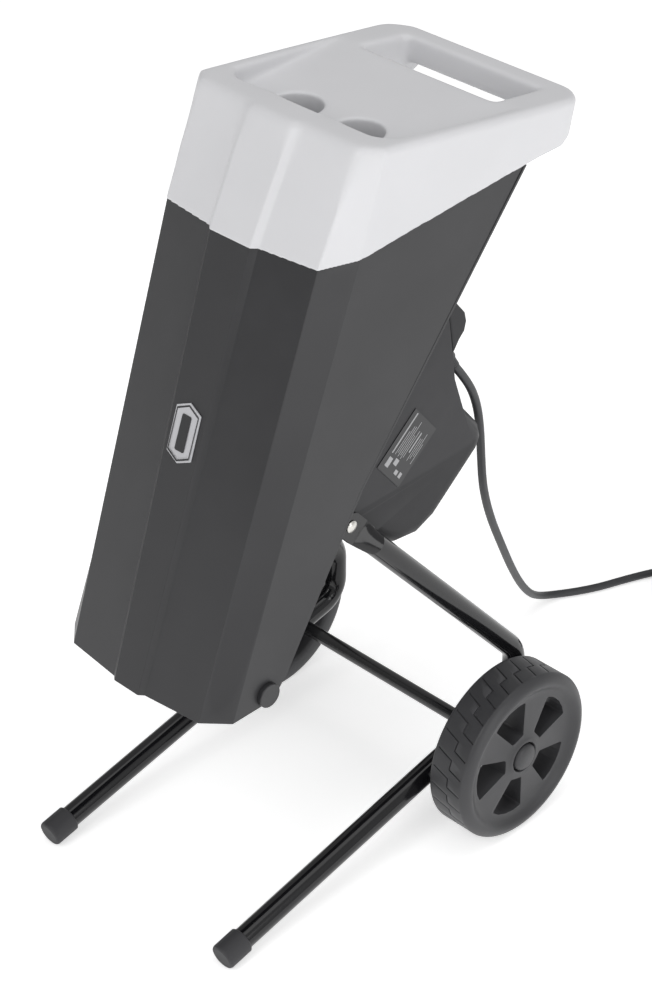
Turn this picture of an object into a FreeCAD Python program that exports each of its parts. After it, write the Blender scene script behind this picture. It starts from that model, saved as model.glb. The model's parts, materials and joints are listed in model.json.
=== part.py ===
import FreeCAD, Part
import math
import os

import Sketcher

# Electric garden shredder on two wheels: a leaning hopper with a light cap, a motor
# housing behind it, a bent tube frame, and a mains lead that lies on the ground.
# Millimetres, +Z up, the hopper's front faces -Y. The design is laid out from the wheel
# axle (y = 0) and every sub-part is then moved back by axle_y, so that the origin is on
# the ground under the middle of the machine.

Vector = FreeCAD.Vector
Rotation = FreeCAD.Rotation
doc = FreeCAD.newDocument("garden_shredder")
sheet = doc.addObject("Spreadsheet::Sheet", "dims")

DIMENSIONS = [
    # the whole machine
    ("axle_y", 122.5), ("axle_height", 100.0), ("wall", 3.0), ("gap", 0.4), ("wide_cut", 400.0),
    # wheels and axle
    ("wheel_radius", 100.0), ("wheel_inner_x", 161.4), ("wheel_width", 53.0),
    ("hub_radius", 22.0), ("axle_radius", 8.0), ("bore_clearance", 0.06), ("axle_half", 208.0),
    ("hub_cap_radius", 16.0), ("hub_length", 41.0), ("spacer_inner_x", 151.0),
    ("spacer_radius", 12.5), ("retainer_radius", 13.0), ("retainer_thickness", 2.0),
    # tube frame
    ("tube_radius", 12.5), ("tube_wall", 1.6), ("track_x", 138.0),
    ("foot_y", -387.5), ("foot_radius", 15.0), ("foot_cap_length", 31.0),
    ("bend_y", 61.0), ("bend_high_z", 177.0),
    ("tube_end_x", 112.0), ("lug_x", 106.4), ("lug_y", -169.0), ("lug_z", 438.0), ("lug_thickness", 8.0),
    ("lug_half_width", 15.0), ("press_start", 42.0), ("press_end", 18.0),
    ("low_bend_radius", 30.0), ("high_bend_radius", 34.0),
    ("bolt_radius", 4.0), ("bolt_hole_radius", 4.3), ("bolt_head_radius", 11.0),
    ("nut_radius", 7.0), ("nut_height", 6.0),
    # hopper shell, at its open bottom edge and under the cap
    ("shell_low_z", 290.6), ("shell_high_z", 744.6), ("shell_loft_z", 775.0),
    ("band_low_x", 17.6), ("band_low_y", -382.3), ("band_high_x", 27.2), ("band_high_y", -224.9),
    ("step_low_x", 23.3), ("step_low_y", -377.6), ("step_high_x", 33.5), ("step_high_y", -219.0),
    ("facet_low_x", 94.6), ("facet_low_y", -370.1),
    ("facet_high_x", 104.1), ("facet_high_y", -210.4),
    ("side_low_x", 120.0), ("side_low_y", -346.7),
    ("side_high_x", 118.0), ("side_high_y", -167.7),
    # rear seam of the hopper: top, kink and foot, as seen from the side
    ("seam_top_y", 67.8), ("seam_top_z", 765.3), ("kink_y", -165.4), ("kink_z", 483.9),
    ("seam_foot_y", -278.3), ("seam_foot_z", 304.4), ("seam_toe_y", -292.0),
    # cap
    ("rim_slope", -0.136), ("rim_at_axle", 834.7), ("rim_band_x", 30.0), ("rim_band_y", -167.0),
    ("rim_step_x", 36.5), ("rim_step_y", -162.0), ("rim_facet_x", 109.0), ("rim_facet_y", -159.0),
    ("rim_side_x", 127.0), ("rim_side_y", -140.0), ("rim_rear_x", 139.0), ("cap_rear_y", 145.0),
    ("cap_top_z", 860.0), ("cap_lip_y", 112.0), ("cap_lip_z", 767.5), ("tray_z", 827.3),
    ("tray_front_y", -125.0), ("tray_front_x", 108.0), ("tray_rear_x", 122.0),
    ("slot_front_y", 50.0), ("slot_half", 91.0), ("grip_front_y", 115.5), ("grip_bottom_z", 787.0),
    ("feed_radius", 27.0), ("feed_x", 41.4), ("feed_y", -93.4), ("feed_collar", 24.0),
    # feed duct under the tray: half width, front and rear at its top and at its foot
    ("duct_top_x", 82.0), ("duct_top_front", -140.0), ("duct_top_rear", -52.0),
    ("duct_foot_x", 62.0), ("duct_foot_front", -196.0), ("duct_foot_rear", -84.0),
    ("duct_foot_rise", 92.0),
    # badge: half width, half height, drop of its shoulders and its thickness
    ("badge_half_width", 17.2), ("badge_half_height", 32.0), ("badge_shoulder", 8.0),
    ("badge_thickness", 1.6), ("badge_share", 0.582),
    # motor frame of reference: where the shaft crosses the seam, and its lean
    ("motor_y", -130.8), ("motor_z", 533.0), ("shaft_dip", 50.5),
    ("housing_half", 102.0), ("housing_end", 185.0), ("barrel_half", 86.5),
    # cutting gear and motor
    ("disc_radius", 87.0), ("disc_start", 22.0), ("disc_thickness", 6.0), ("shaft_radius", 6.0),
    ("rotor_radius", 26.0), ("rotor_start", 92.0), ("rotor_length", 54.0),
    ("stator_radius", 45.0), ("fan_radius", 40.0), ("fan_start", 68.0), ("fan_height", 12.0),
    ("fan_hub_radius", 14.0), ("bearing_start", 44.0), ("bearing_width", 10.0),
    ("bearing_radius", 16.0), ("commutator_radius", 17.0), ("commutator_length", 14.0),
    ("tail_bearing_radius", 13.0), ("brush_length", 24.0), ("brush_width", 10.0),
    ("brush_height", 8.0), ("bracket_window_x", 44.0), ("bracket_window_radius", 13.0),
    ("blade_inner", 30.0), ("blade_length", 44.0), ("blade_front", -11.0), ("blade_rear", 15.0),
    ("blade_thickness", 4.0), ("blade_bolt_inner", 40.0), ("blade_bolt_outer", 64.0),
    ("blade_bolt_y", -3.0), ("paddle_inner", 44.0), ("paddle_length", 34.0),
    ("paddle_thickness", 4.0), ("paddle_height", 9.0), ("disc_nut_radius", 11.0),
    ("disc_nut_height", 7.0),
    # outside of the motor housing: screws, cooling slots and rating label
    ("screw_x", 62.0), ("screw_low_y", -58.0), ("screw_high_y", 30.0), ("screw_radius", 2.1),
    ("screw_head_radius", 4.2), ("vent_length", 74.0), ("vent_width", 4.0), ("vent_pitch", 11.0),
    ("vent_first_y", -38.0), ("label_length", 72.0), ("label_width", 49.5),
    ("label_thickness", 0.8), ("label_y", -46.0), ("label_z", 41.5),
    ("button_radius", 6.5), ("button_reach", 13.5), ("button_foot", 144.6),
    # hinge of the hopper and lock knob
    ("hinge_y", -299.4), ("hinge_z", 302.8), ("hinge_radius", 6.0), ("hinge_head_radius", 13.5),
    ("hinge_head_height", 5.0), ("hinge_inner_x", 97.0), ("block_inner_x", 98.0),
    ("block_width", 14.0), ("block_length", 36.0), ("block_height", 22.0),
    ("lock_reach", 288.0), ("lock_radius", 27.0), ("lock_start", 17.0), ("lock_height", 18.0),
    ("lobe_radius", 8.5), ("lobe_height", 12.0), ("latch_screw_radius", 4.0),
    # mains lead
    ("lead_diameter", 9.5), ("gland_radius", 8.6), ("gland_start", 29.0), ("gland_end", 18.0),
    ("sleeve_radius", 6.9),
    ("coil_x", 98.0), ("coil_y", 504.0), ("coil_turn_radius", 54.0), ("coil_half_width", 14.5),
    ("coil_height", 38.0), ("tie_width", 12.0), ("tie_thickness", 2.0), ("tie_turn", -100.0),
    ("plug_radius", 18.5), ("plug_length", 64.0), ("pin_radius", 2.4), ("pin_length", 19.0),
    ("pin_spacing", 19.0),
]
# Route of the lead from the sleeve to its coil, from the axle, in millimetres.
LEAD_ROUTE = [
    (90, 2, 545), (90, 18, 524), (87, 35, 499), (83, 49, 469), (78, 60, 434), (72, 70, 394),
    (64, 83, 352), (54, 102, 312), (40, 130, 265), (24, 166, 210), (3, 209, 148),
    (-18, 253, 90), (-37, 295, 43), (-49, 329, 15), (-45, 358, 4.8), (-30, 382, 4.8),
    (-17, 408, 4.8), (-6, 439, 4.8), (8, 474, 4.8), (24, 505, 4.8), (38, 536, 4.8),
]
# The free end of the lead, from the coil's top turn to the plug.
TAIL_ROUTE = [
    (146, 546.5, 33.2), (159.5, 533.5, 31.5), (170.5, 518.5, 27.5), (178.5, 501.5, 22.0),
    (182.5, 483.5, 18.6),
]

for row, (alias, value) in enumerate(DIMENSIONS, start=1):
    sheet.set("A%d" % row, alias)
    sheet.set("B%d" % row, str(value))
    sheet.setAlias("B%d" % row, alias)
doc.recompute()


def size(name):
    """The plain number behind a driving dimension."""
    return float(sheet.get(name))


SHAFT_DIP = math.radians(size("shaft_dip"))
SHAFT_AXIS = Vector(0, math.cos(SHAFT_DIP), -math.sin(SHAFT_DIP))
DISC_UP = Vector(0, math.sin(SHAFT_DIP), math.cos(SHAFT_DIP))
SEAM_RUN = Vector(0, size("seam_top_y") - size("kink_y"), size("seam_top_z") - size("kink_z"))
SEAM_UP = SEAM_RUN.normalize()
SEAM_OUT = Vector(0, SEAM_UP.z, -SEAM_UP.y)
BUTTON_PLACES = (-24, 0, 24)
VENT_COUNT = 7
FAN_BLADES = 9
KNOB_LOBES = 6
WHEEL_WINDOWS = 5
SUB_PARTS = []


def keep(part, label):
    """Name a finished sub-part and move it from the axle to the machine's origin."""
    part.Label = label
    part.setExpression("Placement.Base.y", "dims.axle_y")
    SUB_PARTS.append(part)
    return part


def keep_on_shaft(part, label):
    """Name a sub-part drawn with +Z along the motor shaft and lean it into place."""
    part.Label = label
    lean = Rotation(Vector(1, 0, 0), -(90 + size("shaft_dip")))
    part.Placement = FreeCAD.Placement(Vector(0, 0, 0), lean)
    part.setExpression("Placement.Base.y", "dims.axle_y + dims.motor_y")
    part.setExpression("Placement.Base.z", "dims.motor_z")
    SUB_PARTS.append(part)
    return part


def keep_on_seam(part, label, reach):
    """Name a sub-part drawn with +Z straight out of the rear wall, reach up the seam."""
    part.Label = label
    tilt = Rotation(Vector(0, 0, 1), SEAM_OUT)
    start = Vector(0, size("axle_y") + size("kink_y"), size("kink_z")) + SEAM_UP * reach
    part.Placement = FreeCAD.Placement(start, tilt)
    SUB_PARTS.append(part)
    return part


def new_body(name):
    return doc.addObject("PartDesign::Body", name)


def new_sketch(body, role, offset=None):
    """A sketch on one of the body's own origin planes."""
    sketch = body.newObject("Sketcher::SketchObject", body.Name + "_sketch")
    plane = [item for item in body.Origin.OriginFeatures if item.Role == role][0]
    sketch.AttachmentSupport = [(plane, "")]
    sketch.MapMode = "FlatFace"
    if offset is not None:
        sketch.AttachmentOffset = FreeCAD.Placement(offset, Rotation())
    return sketch


def draw(sketch, corners):
    """Close a straight-sided outline whose corners are spreadsheet expressions."""
    values = []
    for across, along in corners:
        values.append(Vector(float(sketch.evalExpression(across)),
                             float(sketch.evalExpression(along)), 0))
    first = sketch.GeometryCount
    count = len(values)
    for index in range(count):
        sketch.addGeometry(Part.LineSegment(values[index], values[(index + 1) % count]), False)
    for index in range(count):
        after = first + (index + 1) % count
        sketch.addConstraint(Sketcher.Constraint("Coincident", first + index, 2, after, 1))
    for index in range(count):
        pairs = (("DistanceX", values[index].x, corners[index][0]),
                 ("DistanceY", values[index].y, corners[index][1]))
        for kind, value, expression in pairs:
            rule = Sketcher.Constraint(kind, -1, 1, first + index, 1, value)
            number = sketch.addConstraint(rule)
            sketch.setExpression("Constraints[%d]" % number, expression)


def draw_circle(sketch, across, along, radius):
    """Add a circle whose centre and radius are spreadsheet expressions."""
    centre = Vector(float(sketch.evalExpression(across)), float(sketch.evalExpression(along)), 0)
    ring = Part.Circle(centre, Vector(0, 0, 1), float(sketch.evalExpression(radius)))
    circle = sketch.addGeometry(ring, False)
    rules = (("DistanceX", -1, 1, circle, 3, centre.x), ("DistanceY", -1, 1, circle, 3, centre.y),
             ("Radius", circle, ring.Radius))
    for rule, expression in zip(rules, (across, along, radius)):
        number = sketch.addConstraint(Sketcher.Constraint(*rule))
        sketch.setExpression("Constraints[%d]" % number, expression)


def mirrored(half):
    """Complete an outline from its +X half, listed from front to rear."""
    other = [("-(%s)" % across, along) for across, along in reversed(half)]
    return other + list(half)


def extrude(body, sketch, length, kind="PartDesign::Pad", both_ways=False, backwards=False):
    """Pad or pocket a sketch by a length given as an expression."""
    feature = body.newObject(kind, body.Name + "_extrusion")
    feature.Profile = sketch
    if both_ways:
        feature.SideType = "Symmetric"
    feature.Reversed = backwards
    feature.setExpression("Length", length)
    return feature


def pocket(body, sketch, length, both_ways=False, backwards=False):
    """Cut a sketch out of its body, and make sure that it did cut."""
    doc.recompute()
    before = body.Shape.Volume
    feature = extrude(body, sketch, length, "PartDesign::Pocket", both_ways, backwards)
    doc.recompute()
    if feature.Shape.Volume >= before - 1e-3:
        raise RuntimeError("a pocket in %s cuts nothing" % body.Name)
    return feature


def turned(name, profile, role="XZ_Plane", axis="V_Axis"):
    """A body turned from a profile: radius across, distance along the axis."""
    body = new_body(name)
    sketch = new_sketch(body, role)
    draw(sketch, profile)
    feature = body.newObject("PartDesign::Revolution", name + "_turning")
    feature.Profile = sketch
    feature.ReferenceAxis = (sketch, [axis])
    feature.Angle = 360
    return body


def round_edges(body, radius, wanted):
    """Fillet every edge of a body for which wanted(edge) is true."""
    doc.recompute()
    base = body.Tip
    names = []
    for number, edge in enumerate(base.Shape.Edges, start=1):
        if wanted(edge):
            names.append("Edge%d" % number)
    if not names:
        raise RuntimeError("no edge to round on %s" % body.Name)
    feature = body.newObject("PartDesign::Fillet", body.Name + "_fillet")
    feature.Base = (base, names)
    feature.Radius = radius
    doc.recompute()
    return feature


def tube_of_rings(name, spans):
    """Several coaxial rings along +Z in one node: (inner radius, outer radius, start, end)."""
    rings = []
    for inner, outer, start, end in spans:
        ring = Part.makeCylinder(outer, end - start, Vector(0, 0, start))
        rings.append(ring.cut(Part.makeCylinder(inner, end - start, Vector(0, 0, start))))
    feature = doc.addObject("Part::Feature", name)
    feature.Shape = Part.makeCompound(rings)
    return feature


def solids(name, shapes):
    """A node made of several separate solids, or of one shape set directly."""
    feature = doc.addObject("Part::Feature", name)
    feature.Shape = Part.makeCompound(shapes) if len(shapes) > 1 else shapes[0]
    return feature


def both_sides(shape):
    """A shape and its mirror image on the other side of the machine."""
    return [shape, shape.mirror(Vector(0, 0, 0), Vector(1, 0, 0))]


# ---------------------------------------------------------------- hopper shell
SIDE_REAR = "60"


def shell_section(level, inset):
    """Half outline of the shell at its open bottom edge or under the cap, inset by walls."""
    across = "dims.%s_" + level + "_x"
    along = "dims.%s_" + level + "_y"
    shift = " - %s * dims.wall" % inset
    back = " + %s * dims.wall" % inset
    return [
        (across % "band" + " - 0.3 * %s * dims.wall" % inset, along % "band" + back),
        (across % "step" + " - 0.6 * %s * dims.wall" % inset, along % "step" + back),
        (across % "facet" + " - 0.5 * %s * dims.wall" % inset, along % "facet" + back),
        (across % "side" + shift, along % "side" + " + 0.6 * %s * dims.wall" % inset),
        (across % "side" + shift, SIDE_REAR + " + dims.seam_top_y"),
    ]


def between(low, high, share):
    """The outline that lies a given share of the way from a low outline to a high one."""
    corners = []
    for (low_x, low_y), (high_x, high_y) in zip(low, high):
        corners.append(("(%s) + (%s) * ((%s) - (%s))" % (low_x, share, high_x, low_x),
                        "(%s) + (%s) * ((%s) - (%s))" % (low_y, share, high_y, low_y)))
    return corners


def loft(body, kind, sections):
    feature = body.newObject(kind, body.Name + "_loft")
    feature.Profile = sections[0]
    feature.Sections = sections[1:]
    feature.Ruled = True
    return feature


def horizontal(body, level, half):
    """A closed horizontal outline at a height given by the sheet."""
    sketch = new_sketch(body, "XY_Plane", Vector(0, 0, size(level)))
    sketch.setExpression("AttachmentOffset.Base.z", "dims." + level)
    draw(sketch, mirrored(half))
    return sketch


def behind_seam():
    """Side outline of everything behind the hopper's rear seam, carried past both its ends."""
    beyond = SEAM_UP * 28.3
    return [
        ("dims.seam_top_y + %f" % beyond.y, "dims.seam_top_z + %f" % beyond.z),
        ("dims.kink_y", "dims.kink_z"),
        ("dims.seam_foot_y", "dims.seam_foot_z"),
        ("dims.seam_toe_y", "dims.shell_low_z - 2"),
        ("dims.seam_top_y + 200", "dims.shell_low_z - 2"),
        ("dims.seam_top_y + 200", "dims.seam_top_z + %f" % beyond.z),
    ]


def shell_loft(body, kind, inset):
    """Loft from the bottom edge to above the cap's joint, along the shell's straight edges."""
    share = "(dims.shell_loft_z - dims.shell_low_z) / (dims.shell_high_z - dims.shell_low_z)"
    low = shell_section("low", inset)
    top = between(low, shell_section("high", inset), share)
    loft(body, kind, [horizontal(body, "shell_low_z", low), horizontal(body, "shell_loft_z", top)])


def hopper_shell():
    body = new_body("shell")
    shell_loft(body, "PartDesign::AdditiveLoft", 0)
    shell_loft(body, "PartDesign::SubtractiveLoft", 1)
    bores = new_sketch(body, "YZ_Plane")
    draw_circle(bores, "dims.hinge_y", "dims.hinge_z", "dims.hinge_radius + dims.bore_clearance")
    pocket(body, bores, "dims.wide_cut", both_ways=True)
    joint = new_sketch(body, "YZ_Plane")
    draw(joint, [("dims.band_low_y", "dims.shell_high_z"), ("dims.side_high_y", "dims.shell_high_z"),
                 ("dims.seam_top_y", "dims.seam_top_z"),
                 ("dims.seam_top_y + dims.cap_rear_y", "dims.seam_top_z"),
                 ("dims.seam_top_y + dims.cap_rear_y", "dims.shell_loft_z + dims.wall"),
                 ("dims.band_low_y", "dims.shell_loft_z + dims.wall")])
    pocket(body, joint, "dims.wide_cut", both_ways=True)
    rear = new_sketch(body, "YZ_Plane")
    draw(rear, behind_seam())
    pocket(body, rear, "dims.wide_cut", both_ways=True)
    return keep(body, "hopper_shell")


# ------------------------------------------------------------------------- cap
def cap_section(level, inset):
    """Half outline of the cap at its skirt or at its rim."""
    front = "%s * dims.wall" % inset
    if level == "skirt":
        return [
            ("dims.band_high_x + 0.6 - 0.3 * " + front, "dims.band_high_y - 0.8 + " + front),
            ("dims.step_high_x + 0.6 - 0.6 * " + front, "dims.step_high_y - 0.8 + " + front),
            ("dims.facet_high_x + 0.6 - 0.5 * " + front, "dims.facet_high_y - 0.8 + " + front),
            ("dims.side_high_x + 0.8 - " + front, "dims.side_high_y - 0.4 + 0.6 * " + front),
            ("dims.side_high_x + 3 - " + front, "dims.cap_rear_y - " + front),
        ]
    return [
        ("dims.rim_band_x - 0.3 * " + front, "dims.rim_band_y + " + front),
        ("dims.rim_step_x - 0.6 * " + front, "dims.rim_step_y + " + front),
        ("dims.rim_facet_x - 0.5 * " + front, "dims.rim_facet_y + " + front),
        ("dims.rim_side_x - " + front, "dims.rim_side_y + 0.6 * " + front),
        ("dims.rim_rear_x + 3 - " + front, "dims.cap_rear_y - " + front),
    ]


def hopper_cap():
    body = new_body("cap")
    skirt = horizontal(body, "shell_high_z", cap_section("skirt", 0))
    rim = horizontal(body, "cap_top_z", cap_section("rim", 0))
    loft(body, "PartDesign::AdditiveLoft", [skirt, rim])
    over = new_sketch(body, "YZ_Plane")
    draw(over, [("-300", "dims.rim_at_axle - 300 * dims.rim_slope"), ("-300", "900"),
                ("300", "900"), ("300", "dims.rim_at_axle + 300 * dims.rim_slope")])
    pocket(body, over, "dims.wide_cut", both_ways=True)
    under = new_sketch(body, "YZ_Plane")
    draw(under, [("dims.side_high_y", "dims.shell_high_z"),
                 ("dims.seam_top_y", "dims.seam_top_z"), ("dims.cap_lip_y", "dims.cap_lip_z"),
                 ("dims.cap_rear_y + 2", "dims.cap_lip_z + 15"),
                 ("dims.cap_rear_y + 2", "dims.shell_high_z - 5"),
                 ("dims.side_high_y", "dims.shell_high_z - 5")])
    pocket(body, under, "dims.wide_cut", both_ways=True)
    round_edges(body, 34, lambda edge: edge.BoundBox.YMin > size("cap_rear_y") - 1
                and edge.BoundBox.ZLength > 20)
    round_edges(body, 7, is_rim_edge)
    tray = new_sketch(body, "XY_Plane", Vector(0, 0, size("cap_top_z")))
    draw(tray, mirrored([("dims.tray_front_x - 16", "dims.tray_front_y"),
                         ("dims.tray_front_x", "dims.tray_front_y + 14"),
                         ("dims.tray_rear_x", "dims.slot_front_y + 20")]))
    pocket(body, tray, "dims.cap_top_z - dims.tray_z")
    slot = new_sketch(body, "XY_Plane", Vector(0, 0, size("cap_top_z")))
    draw(slot, mirrored([("dims.slot_half", "dims.slot_front_y"),
                         ("dims.slot_half", "dims.grip_front_y")]))
    pocket(body, slot, "200")
    below_grip = new_sketch(body, "XY_Plane", Vector(0, 0, size("shell_high_z") - 5))
    draw(below_grip, mirrored([("dims.slot_half", "dims.slot_front_y + 1"),
                               ("dims.slot_half", "dims.cap_rear_y + 5")]))
    pocket(body, below_grip, "dims.grip_bottom_z - dims.shell_high_z + 5", backwards=True)
    hollow_cap(body)
    return keep(body, "hopper_cap")


def is_rim_edge(edge):
    """Whether an edge lies in the sloping plane of the cap's rim."""
    for vertex in edge.Vertexes:
        rim = size("rim_at_axle") + size("rim_slope") * vertex.Point.y
        if abs(vertex.Point.z - rim) > 0.05:
            return False
    return True


def cavity_section(level):
    """Half outline of the cap's hollow: one wall in, and only as far back as the slot."""
    corners = cap_section(level, 1)
    side, rear = corners[-2:]
    share = "(dims.slot_front_y - dims.wall - (%s)) / ((%s) - (%s))" % (side[1], rear[1], side[1])
    return corners[:-1] + between([side], [rear], share)


def hollow_cap(body):
    """Hollow the cap from below, leave the feed holes' collars, and cut the feed holes."""
    share = "(dims.tray_z - dims.wall - dims.shell_high_z) / (dims.cap_top_z - dims.shell_high_z)"
    low = cavity_section("skirt")
    high = between(low, cavity_section("rim"), share)
    ceiling = new_sketch(body, "XY_Plane", Vector(0, 0, size("tray_z") - size("wall")))
    draw(ceiling, mirrored(high))
    floor = horizontal(body, "shell_high_z", low)
    loft(body, "PartDesign::SubtractiveLoft", [floor, ceiling])
    arms = new_sketch(body, "XY_Plane", Vector(0, 0, size("shell_high_z") - 5))
    for side in ("", "-"):
        draw(arms, [("%s(dims.slot_half + 4)" % side, "dims.slot_front_y + 18"),
                    ("%s(dims.rim_rear_x - 17)" % side, "dims.slot_front_y + 18"),
                    ("%s(dims.rim_rear_x - 17)" % side, "dims.cap_rear_y - 26"),
                    ("%s(dims.slot_half + 4)" % side, "dims.cap_rear_y - 14")])
    pocket(body, arms, "dims.grip_bottom_z + 14 - dims.shell_high_z", backwards=True)
    collars = new_sketch(body, "XY_Plane", Vector(0, 0, size("tray_z") - 1))
    draw_circle(collars, "dims.feed_x", "dims.feed_y", "dims.feed_radius + dims.wall")
    draw_circle(collars, "-dims.feed_x", "dims.feed_y", "dims.feed_radius + dims.wall")
    extrude(body, collars, "dims.feed_collar", backwards=True)
    feeds = new_sketch(body, "XY_Plane", Vector(0, 0, size("tray_z") + 1))
    draw_circle(feeds, "dims.feed_x", "dims.feed_y", "dims.feed_radius")
    draw_circle(feeds, "-dims.feed_x", "dims.feed_y", "dims.feed_radius")
    pocket(body, feeds, "dims.feed_collar + 10")


def feed_chute():
    """The tapering square duct that leads from under the tray to the cutting disc."""
    body = new_body("chute")
    levels = (("top", "dims.tray_z - dims.wall"), ("foot", "dims.motor_z + dims.duct_foot_rise"))
    for kind, inset in (("PartDesign::AdditiveLoft", "0"),
                        ("PartDesign::SubtractiveLoft", "0.8 * dims.wall")):
        sections = []
        for level, height in levels:
            sketch = new_sketch(body, "XY_Plane", Vector(0, 0, 0))
            sketch.setExpression("AttachmentOffset.Base.z", height)
            across = "dims.duct_%s_x - %s" % (level, inset)
            draw(sketch, mirrored([(across, "dims.duct_%s_front + %s" % (level, inset)),
                                   (across, "dims.duct_%s_rear - %s" % (level, inset))]))
            sections.append(sketch)
        loft(body, kind, sections)
    return keep(body, "feed_chute")


def badge_plate():
    """A blank long hexagonal plate on the front band."""
    low = Vector(0, size("band_low_y"), size("shell_low_z"))
    high = Vector(0, size("band_high_y"), size("shell_high_z"))
    along = (high - low).normalize()
    centre = low + (high - low) * size("badge_share")
    width = size("badge_half_width")
    peak = size("badge_half_height")
    shoulder = peak - size("badge_shoulder")
    points = [(0, peak), (width, shoulder), (width, -shoulder),
              (0, -peak), (-width, -shoulder), (-width, shoulder)]
    wire = Part.makePolygon([Vector(x, y, 0) for x, y in points + points[:1]])
    plate = Part.Face(wire).extrude(Vector(0, 0, size("badge_thickness")))
    feature = solids("badge", [plate])
    out = Vector(1, 0, 0).cross(along)
    frame = Rotation(Vector(1, 0, 0), along, out, "XYZ")
    feature.Placement = FreeCAD.Placement(centre + out * 0.02, frame)
    return keep_moved(feature, "badge_plate")


def keep_moved(part, label):
    """Name a sub-part that already has a tilted placement from the axle."""
    part.Label = label
    place = part.Placement
    place.Base = place.Base + Vector(0, size("axle_y"), 0)
    part.Placement = place
    SUB_PARTS.append(part)
    return part


def latch_bar():
    """The cross bar of the hopper that the lock screw pulls against the rear wall."""
    body = new_body("latch")
    sketch = new_sketch(body, "XY_Plane", Vector(0, 0, -9))
    half = "dims.side_high_x - dims.wall - 0.3"
    draw(sketch, mirrored([(half, "-18"), (half, "18")]))
    draw_circle(sketch, "0", "0", "4.6")
    extrude(body, sketch, "8")
    tongue = new_sketch(body, "XY_Plane", Vector(0, 0, -2))
    draw(tongue, [("36", "-2"), ("48", "-2"), ("48", "2"), ("36", "2")])
    extrude(body, tongue, "15")
    return keep_on_seam(body, "latch_bar", size("lock_reach"))


# ---------------------------------------------------- rear wall and motor housing
def base_plate():
    """The bent rear wall that closes the hopper, with the opening for the disc."""
    body = new_body("rear_wall")
    sketch = new_sketch(body, "YZ_Plane")
    near = "dims.gap"
    far = "dims.gap + 1.45 * dims.wall"
    draw(sketch, [("dims.seam_top_y - 4 + " + near, "dims.seam_top_z - 5"),
                  ("dims.kink_y + " + near, "dims.kink_z"),
                  ("dims.seam_foot_y + " + near, "dims.seam_foot_z"),
                  ("dims.seam_foot_y + " + far, "dims.seam_foot_z"),
                  ("dims.kink_y + " + far, "dims.kink_z"),
                  ("dims.seam_top_y - 4 + " + far, "dims.seam_top_z - 5")])
    extrude(body, sketch, "2 * (dims.side_high_x + 0.8)", both_ways=True)
    cuts = new_sketch(body, "XY_Plane")
    cuts.AttachmentOffset = FreeCAD.Placement(
        Vector(0, size("motor_y"), size("motor_z")) - SHAFT_AXIS * 60,
        Rotation(Vector(0, 0, 1), SHAFT_AXIS))
    draw_circle(cuts, "0", "0", "dims.disc_radius + 4")
    pocket(body, cuts, "150", backwards=True)
    lock = new_sketch(body, "XY_Plane")
    lock.AttachmentOffset = FreeCAD.Placement(
        Vector(0, size("kink_y"), size("kink_z")) + SEAM_UP * size("lock_reach") - SEAM_OUT * 30,
        Rotation(Vector(0, 0, 1), SEAM_OUT))
    draw_circle(lock, "0", "0", "4.4")
    draw(lock, [("32", "-6"), ("52", "-6"), ("52", "6"), ("32", "6")])
    pocket(body, lock, "60", backwards=True)
    return keep(body, "rear_wall")


def housing_profile(inset):
    """Side outline of the motor housing: towards the ground across, along the shaft up.

    The inner outline runs on through the open front of the housing.
    """
    front = -60.0 if inset else 0.0
    shift = "%f * dims.wall" % inset
    seam_drop = size("gap") + 1.6 * size("wall")
    points = [
        ("-153.8 + " + shift, "%f" % (front - 22.3 + seam_drop)),
        ("-153.8 + " + shift, "-5.3 - " + shift),
        ("-142 + 0.4 * " + shift, "-3.3 - 0.6 * " + shift),
        ("-114 + 0.4 * " + shift, "44.7 - 0.6 * " + shift),
        ("-97 + " + shift, "72 - 0.6 * " + shift),
        ("-dims.barrel_half + " + shift, "100"),
        ("-dims.barrel_half + " + shift, "dims.housing_end - 22"),
        ("-dims.barrel_half + 7 + 0.8 * " + shift, "dims.housing_end - 7 - 0.8 * " + shift),
        ("-dims.barrel_half + 22", "dims.housing_end - " + shift),
        ("22", "dims.housing_end - " + shift),
        ("50 - 0.4 * " + shift, "dims.housing_end - 9 - 0.9 * " + shift),
        ("72 - 0.7 * " + shift, "dims.housing_end - 32 - 0.7 * " + shift),
        ("82 - 0.9 * " + shift, "dims.housing_end - 58 - 0.3 * " + shift),
        ("dims.barrel_half - " + shift, "96"),
        ("94 - " + shift, "92 - " + shift),
        ("94 - " + shift, "%f" % (front + 29.0 + seam_drop)),
        ("57.9", "%f" % (front + 15.9 + seam_drop)),
    ]
    return points


def housing_block(name, inset):
    body = new_body(name)
    sketch = new_sketch(body, "YZ_Plane")
    draw(sketch, housing_profile(inset))
    extrude(body, sketch, "2 * (dims.housing_half - %f * dims.wall)" % inset, both_ways=True)

    def on_flank(edge):
        return edge.BoundBox.XLength < 0.01 and edge.BoundBox.ZMin > 95.9
    round_edges(body, 20 - 2.4 * inset, on_flank)
    return body


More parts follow.
